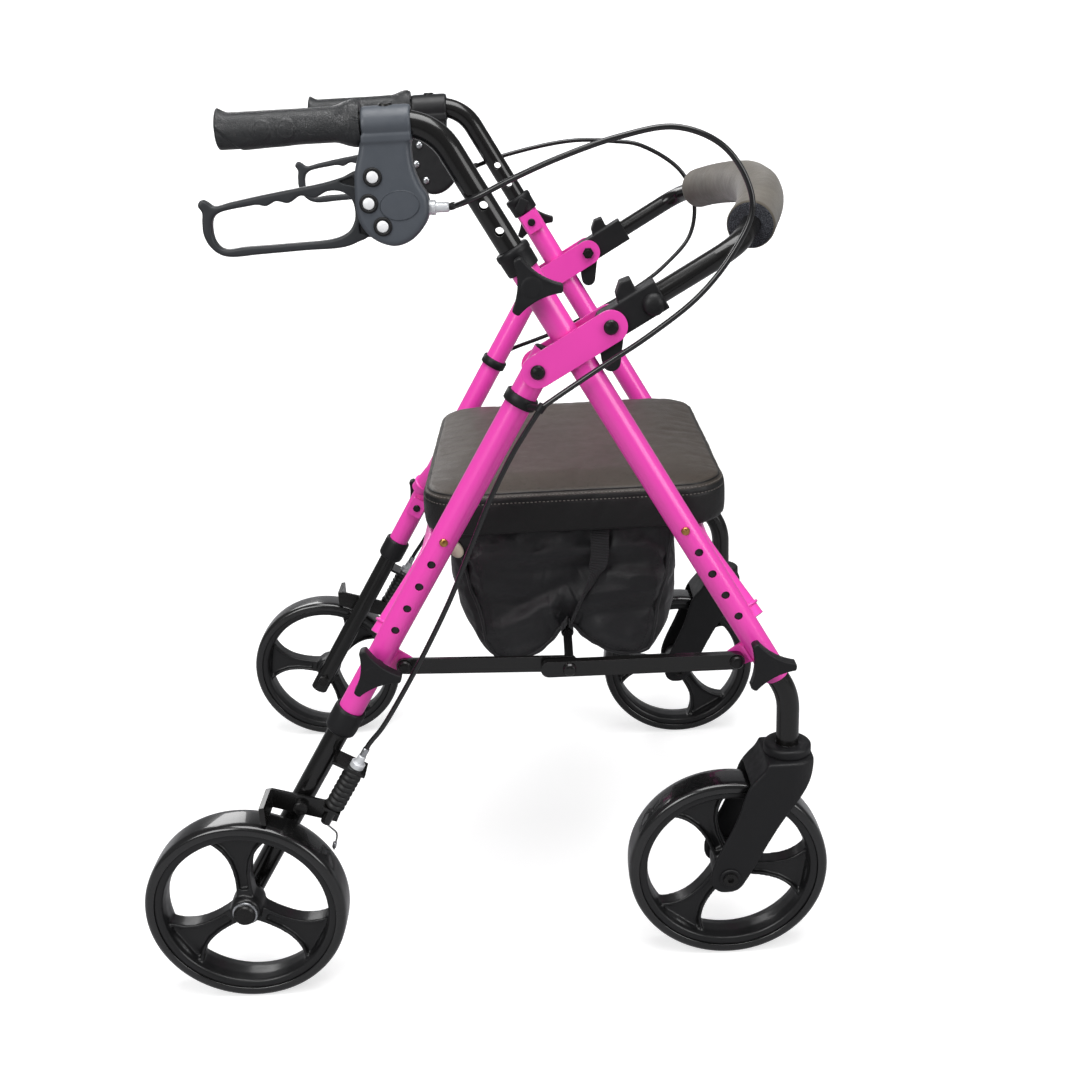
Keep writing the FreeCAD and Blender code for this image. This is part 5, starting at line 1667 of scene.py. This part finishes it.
def build_strap():
    strap = ribbon([(x, STRAP_Y + y, z) for x, y, z, _, _ in STRAP],
                   [row[3] for row in STRAP], [row[4] for row in STRAP], 0.0015, 14)
    # loop round the cross rod
    points = [(0.0945, -0.1548, 0.3455)]
    for k in range(25):
        a = math.radians(60 - 300 * k / 24)
        points.append((ROD_X + 0.0058 * math.cos(a), -0.1560, ROD_Z + 0.0058 * math.sin(a)))
    points.append((0.0925, -0.1566, 0.3460))
    count = len(points)
    loop = ribbon(points, [0.018] * count, [SIDEWAYS] * count, 0.0013, 3)
    part = join([strap, loop])
    put(part, "pull_strap_webbing", "rear_links", "webbing_black", replaced="pull_strap")
    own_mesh(part)


build_strap()

# ------------------------------------------------------------------ brake cables
# points (x, y, z) from the upper adjuster to the clip on the rear tube
RIGHT_UPPER = [
    (0.0098, -0.2414, 0.7735), (0.0200, -0.2505, 0.7772), (0.0350, -0.2570, 0.7832),
    (0.0620, -0.2600, 0.7950), (0.1028, -0.2635, 0.8105), (0.1525, -0.2680, 0.8248),
    (0.1980, -0.2700, 0.8300), (0.2341, -0.2700, 0.8154), (0.2547, -0.2700, 0.7891),
    (0.2612, -0.2700, 0.7610), (0.2467, -0.2700, 0.7285), (0.2171, -0.2700, 0.6923),
    (0.1740, -0.2690, 0.6600), (0.1300, -0.2680, 0.6331), (0.0941, -0.2660, 0.6104),
    (0.0768, -0.2645, 0.5990)]
LEFT_UPPER = [
    (0.0098, 0.2414, 0.7735), (0.0205, 0.2508, 0.7766), (0.0370, 0.2568, 0.7815),
    (0.1000, 0.2590, 0.7935), (0.1376, 0.2590, 0.7963), (0.1760, 0.2610, 0.7930),
    (0.2105, 0.2630, 0.7866), (0.2590, 0.2650, 0.7546), (0.2759, 0.2650, 0.7180),
    (0.2706, 0.2650, 0.6759), (0.2389, 0.2640, 0.6405), (0.2070, 0.2640, 0.6172),
    (0.1425, 0.2640, 0.5838), (0.0904, 0.2620, 0.5612), (0.0381, 0.2600, 0.5440),
    (0.0180, 0.2600, 0.5335)]
# from the clip down the rear tube
RIGHT_LOWER = [
    (0.0634, -0.2630, 0.5793), (0.0487, -0.2620, 0.5565), (0.0263, -0.2620, 0.5150),
    (0.0048, -0.2620, 0.4674), (-0.0174, -0.2620, 0.4184), (-0.0451, -0.2620, 0.3661),
    (-0.0733, -0.2620, 0.3180), (-0.0940, -0.2620, 0.2860)]
LEFT_LOWER = [
    (0.0040, 0.2590, 0.5050), (-0.0068, 0.2580, 0.4825), (-0.0260, 0.2570, 0.4420),
    (-0.0440, 0.2570, 0.3980), (-0.0650, 0.2580, 0.3450), (-0.0840, 0.2600, 0.3060),
    (-0.0960, 0.2620, 0.2860)]
SPLIT = 6              # point where the upper cable is divided in two
CABLE_STEPS = 10
# where the lower cable starts and stops passing from the rear frame to the rear leg
BOOT = [(0, 0), (0, 2.6), (0.8, 3.2), (4.4, 3.2), (5.4, 2.9), (5.6, 2.4)]
FERRULE = [(0, 0), (0, 2.9), (-0.6, 3.3), (-9.4, 3.3), (-10.2, 2.9), (-10.2, 2.4)]


def build_cable(side, sign, upper, lower):
    """Two upper lengths and a lower one; returns the second upper length and the lower."""
    curve = catmull(upper, CABLE_STEPS)
    split = SPLIT * CABLE_STEPS
    end = on_lower_cable(CABLE_ANCHOR - 0.0130, sign)
    low_curve = catmull(upper[-1:] + lower + [tuple(end - REAR_DIR * 0.016), tuple(end)],
                        CABLE_STEPS)
    first, second, low = (tube(points, 0.0025, 16)
                          for points in (curve[:split + 1], curve[split:], low_curve))
    for part, name in ((first, "brake_cable_upper_a_" + side),
                       (second, "brake_cable_upper_b_" + side),
                       (low, f"brake_cable_lower_{side}_sheath")):
        dress(part, name, "cable_black")
    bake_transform(first)
    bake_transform(second)
    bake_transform(low)
    return second, low


def build_clip(side, t, sign, cable):
    """A band round the rear tube with an eye for the cable."""
    centre, cable = on_rear(t, sign * TRACK), Vector(cable)
    half = 0.0105 / 2
    band = ring_lathe([(-half, 0.0128), (-half, 0.0148), (-half + 0.0008, 0.0156),
                       (half - 0.0008, 0.0156), (half, 0.0148), (half, 0.0128)],
                      centre, REAR_DIR, 56, 50)
    eye = ring_lathe([(-0.0036, 0.0026), (-0.0036, 0.0040), (0.0036, 0.0040),
                      (0.0036, 0.0026)], cable, (0.62, 0, 0.78), 28, 50)
    away = cable - centre
    foot = centre + (away - REAR_DIR * away.dot(REAR_DIR)).normalized() * 0.0145
    neck_end = cable + (foot - cable).normalized() * 0.0032
    neck = tube([foot, foot.lerp(cable, 0.5), neck_end], 0.0030, 12)
    put(join([band, eye, neck]), "cable_clip_" + side, "rear_frame", "plastic_black")


upper_length, lower_length = build_cable("right", -1.0, RIGHT_UPPER, RIGHT_LOWER)
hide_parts("brake_cables_upper")
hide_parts("brake_cables_lower")
build_cable("left", 1.0, LEFT_UPPER, LEFT_LOWER)
# boots and ferrules at the adjusters
part = lathe(mm(BOOT), (0.0072, TRACK + 0.0002, 0.7733), (0.84, 0.48, 0.26), 28, 40)
put_pair(part, "cable_boot_upper_*", "handle_*", "plastic_black")
part = lathe(mm(FERRULE), on_lower_cable(CABLE_ANCHOR - 0.0138), REAR_DIR, 28, 40)
put_pair(part, "cable_ferrule_lower_*", "rear_leg_*", "steel_zinc")
build_clip("right", 0.0320, -1, RIGHT_UPPER[-1])
build_clip("left", 0.1120, 1, LEFT_UPPER[-1])

# cream oval end plugs of the seat's rear rests
part = lathe([(0.0, 0.0), (0.0, 0.0062), (0.0012, 0.0068), (0.0040, 0.0064),
              (0.0052, 0.0046), (0.0056, 0.0)], (0, 0, 0), SIDEWAYS, 40, 50)
for move in (Matrix.Diagonal((1.0, 1.0, 1.45, 1.0)),
             Matrix.Rotation(math.radians(-28), 4, "Y"),
             Matrix.Translation((-0.0166, 0.1560, 0.4300))):
    part.data.transform(move)
put_pair(part, "seat_rest_plug_*", "seat", "plug_cream")


# ------------------------------------------------------------------ camera
def add_camera(name, place, heading, down, roll, lens, shift):
    """A camera looking along +Y from the right side; angles in degrees.

    heading turns it towards +X, down tips it down, roll turns it about its view.
    """
    heading, down, roll = (math.radians(a) for a in (heading, down, roll))
    forward = Vector((math.sin(heading) * math.cos(down), math.cos(heading) * math.cos(down),
                      -math.sin(down)))
    level = Vector((math.cos(heading), -math.sin(heading), 0))
    upright = level.cross(forward)
    right = level * math.cos(roll) + upright * math.sin(roll)
    up = -level * math.sin(roll) + upright * math.cos(roll)
    data = bpy.data.cameras.new(name)
    data.sensor_fit = "HORIZONTAL"
    data.sensor_width = 36.0
    data.lens = lens
    data.shift_x, data.shift_y = shift
    data.clip_start, data.clip_end = 0.05, 60
    camera = bpy.data.objects.new(name, data)
    SCENE.collection.objects.link(camera)
    rows = [(right[i], up[i], -forward[i], place[i]) for i in range(3)]
    camera.matrix_world = Matrix(rows + [(0, 0, 0, 1)])
    SCENE.camera = camera


add_camera("photo_view", place=(0.08246, -1.36565, 0.88035), heading=-1.14, down=20.48,
           roll=-3.16, lens=42.57, shift=(0.00911, 0.00597))


# ------------------------------------------------------------------ stage and light
def build_sweep():
    """Floor that curves up into a wall on the far side, towards +Y."""
    start, bend_y, end_y, radius, top, steps = -7.0, 1.9, 4.5, 2.6, 7.0, 48
    half_width, drop = 9.0, 0.0003
    profile = [(start, 0.0), (bend_y, 0.0)]
    for k in range(1, steps + 1):
        a = math.pi / 2 * k / steps
        profile.append((bend_y + radius * math.sin(a), radius - radius * math.cos(a)))
    profile.append((end_y, top))
    verts = [(x, y, z - drop) for x in (-half_width, half_width) for y, z in profile]
    count = len(profile)
    faces = [(i, i + 1, count + i + 1, count + i) for i in range(count - 1)]
    floor = mesh_from(verts, faces, 0)
    dress(floor, "studio_sweep", "studio_floor")


def area_light(name, place, target, width, height, power):
    data = bpy.data.lights.new(name, "AREA")
    data.shape = "RECTANGLE"
    data.size = width
    data.size_y = height
    data.energy = power
    light = bpy.data.objects.new(name, data)
    SCENE.collection.objects.link(light)
    light.location = place
    aim = Vector(target) - Vector(place)
    light.rotation_euler = aim.to_track_quat("-Z", "Y").to_euler()


def build_world():
    """White to the camera, a dim cool grey for the light it gives."""
    world = bpy.data.worlds.new("studio")
    SCENE.world = world
    world.use_nodes = True
    nodes, links = world.node_tree.nodes, world.node_tree.links
    nodes.clear()
    output = nodes.new("ShaderNodeOutputWorld")
    mix = nodes.new("ShaderNodeMixShader")
    path = nodes.new("ShaderNodeLightPath")
    links.new(path.outputs["Is Camera Ray"], mix.inputs[0])
    for socket, color, strength in ((1, (0.95, 0.96, 0.98, 1), 0.20), (2, (1, 1, 1, 1), 1.0)):
        background = nodes.new("ShaderNodeBackground")
        background.inputs[0].default_value = color
        background.inputs[1].default_value = strength
        links.new(background.outputs[0], mix.inputs[socket])
    links.new(mix.outputs[0], output.inputs[0])


build_sweep()
area_light("key_top", place=(0.2, -0.5, 2.9), target=(0.05, 0.0, 0.45),
           width=2.2, height=1.8, power=74)
area_light("key_front", place=(-1.6, -2.4, 1.9), target=(0.0, 0.0, 0.5),
           width=1.5, height=1.5, power=42)
area_light("fill_right", place=(2.3, -1.6, 1.3), target=(0.0, 0.0, 0.5),
           width=1.4, height=1.6, power=27)
area_light("back_wall", place=(0.0, 2.4, 2.3), target=(0.0, 4.4, 1.2),
           width=3.0, height=2.0, power=60)
area_light("rim_back", place=(-1.2, 2.0, 1.7), target=(0.0, 0.0, 0.6),
           width=1.2, height=1.0, power=16)
build_world()
SCENE.view_settings.view_transform = "Standard"
SCENE.view_settings.look = "None"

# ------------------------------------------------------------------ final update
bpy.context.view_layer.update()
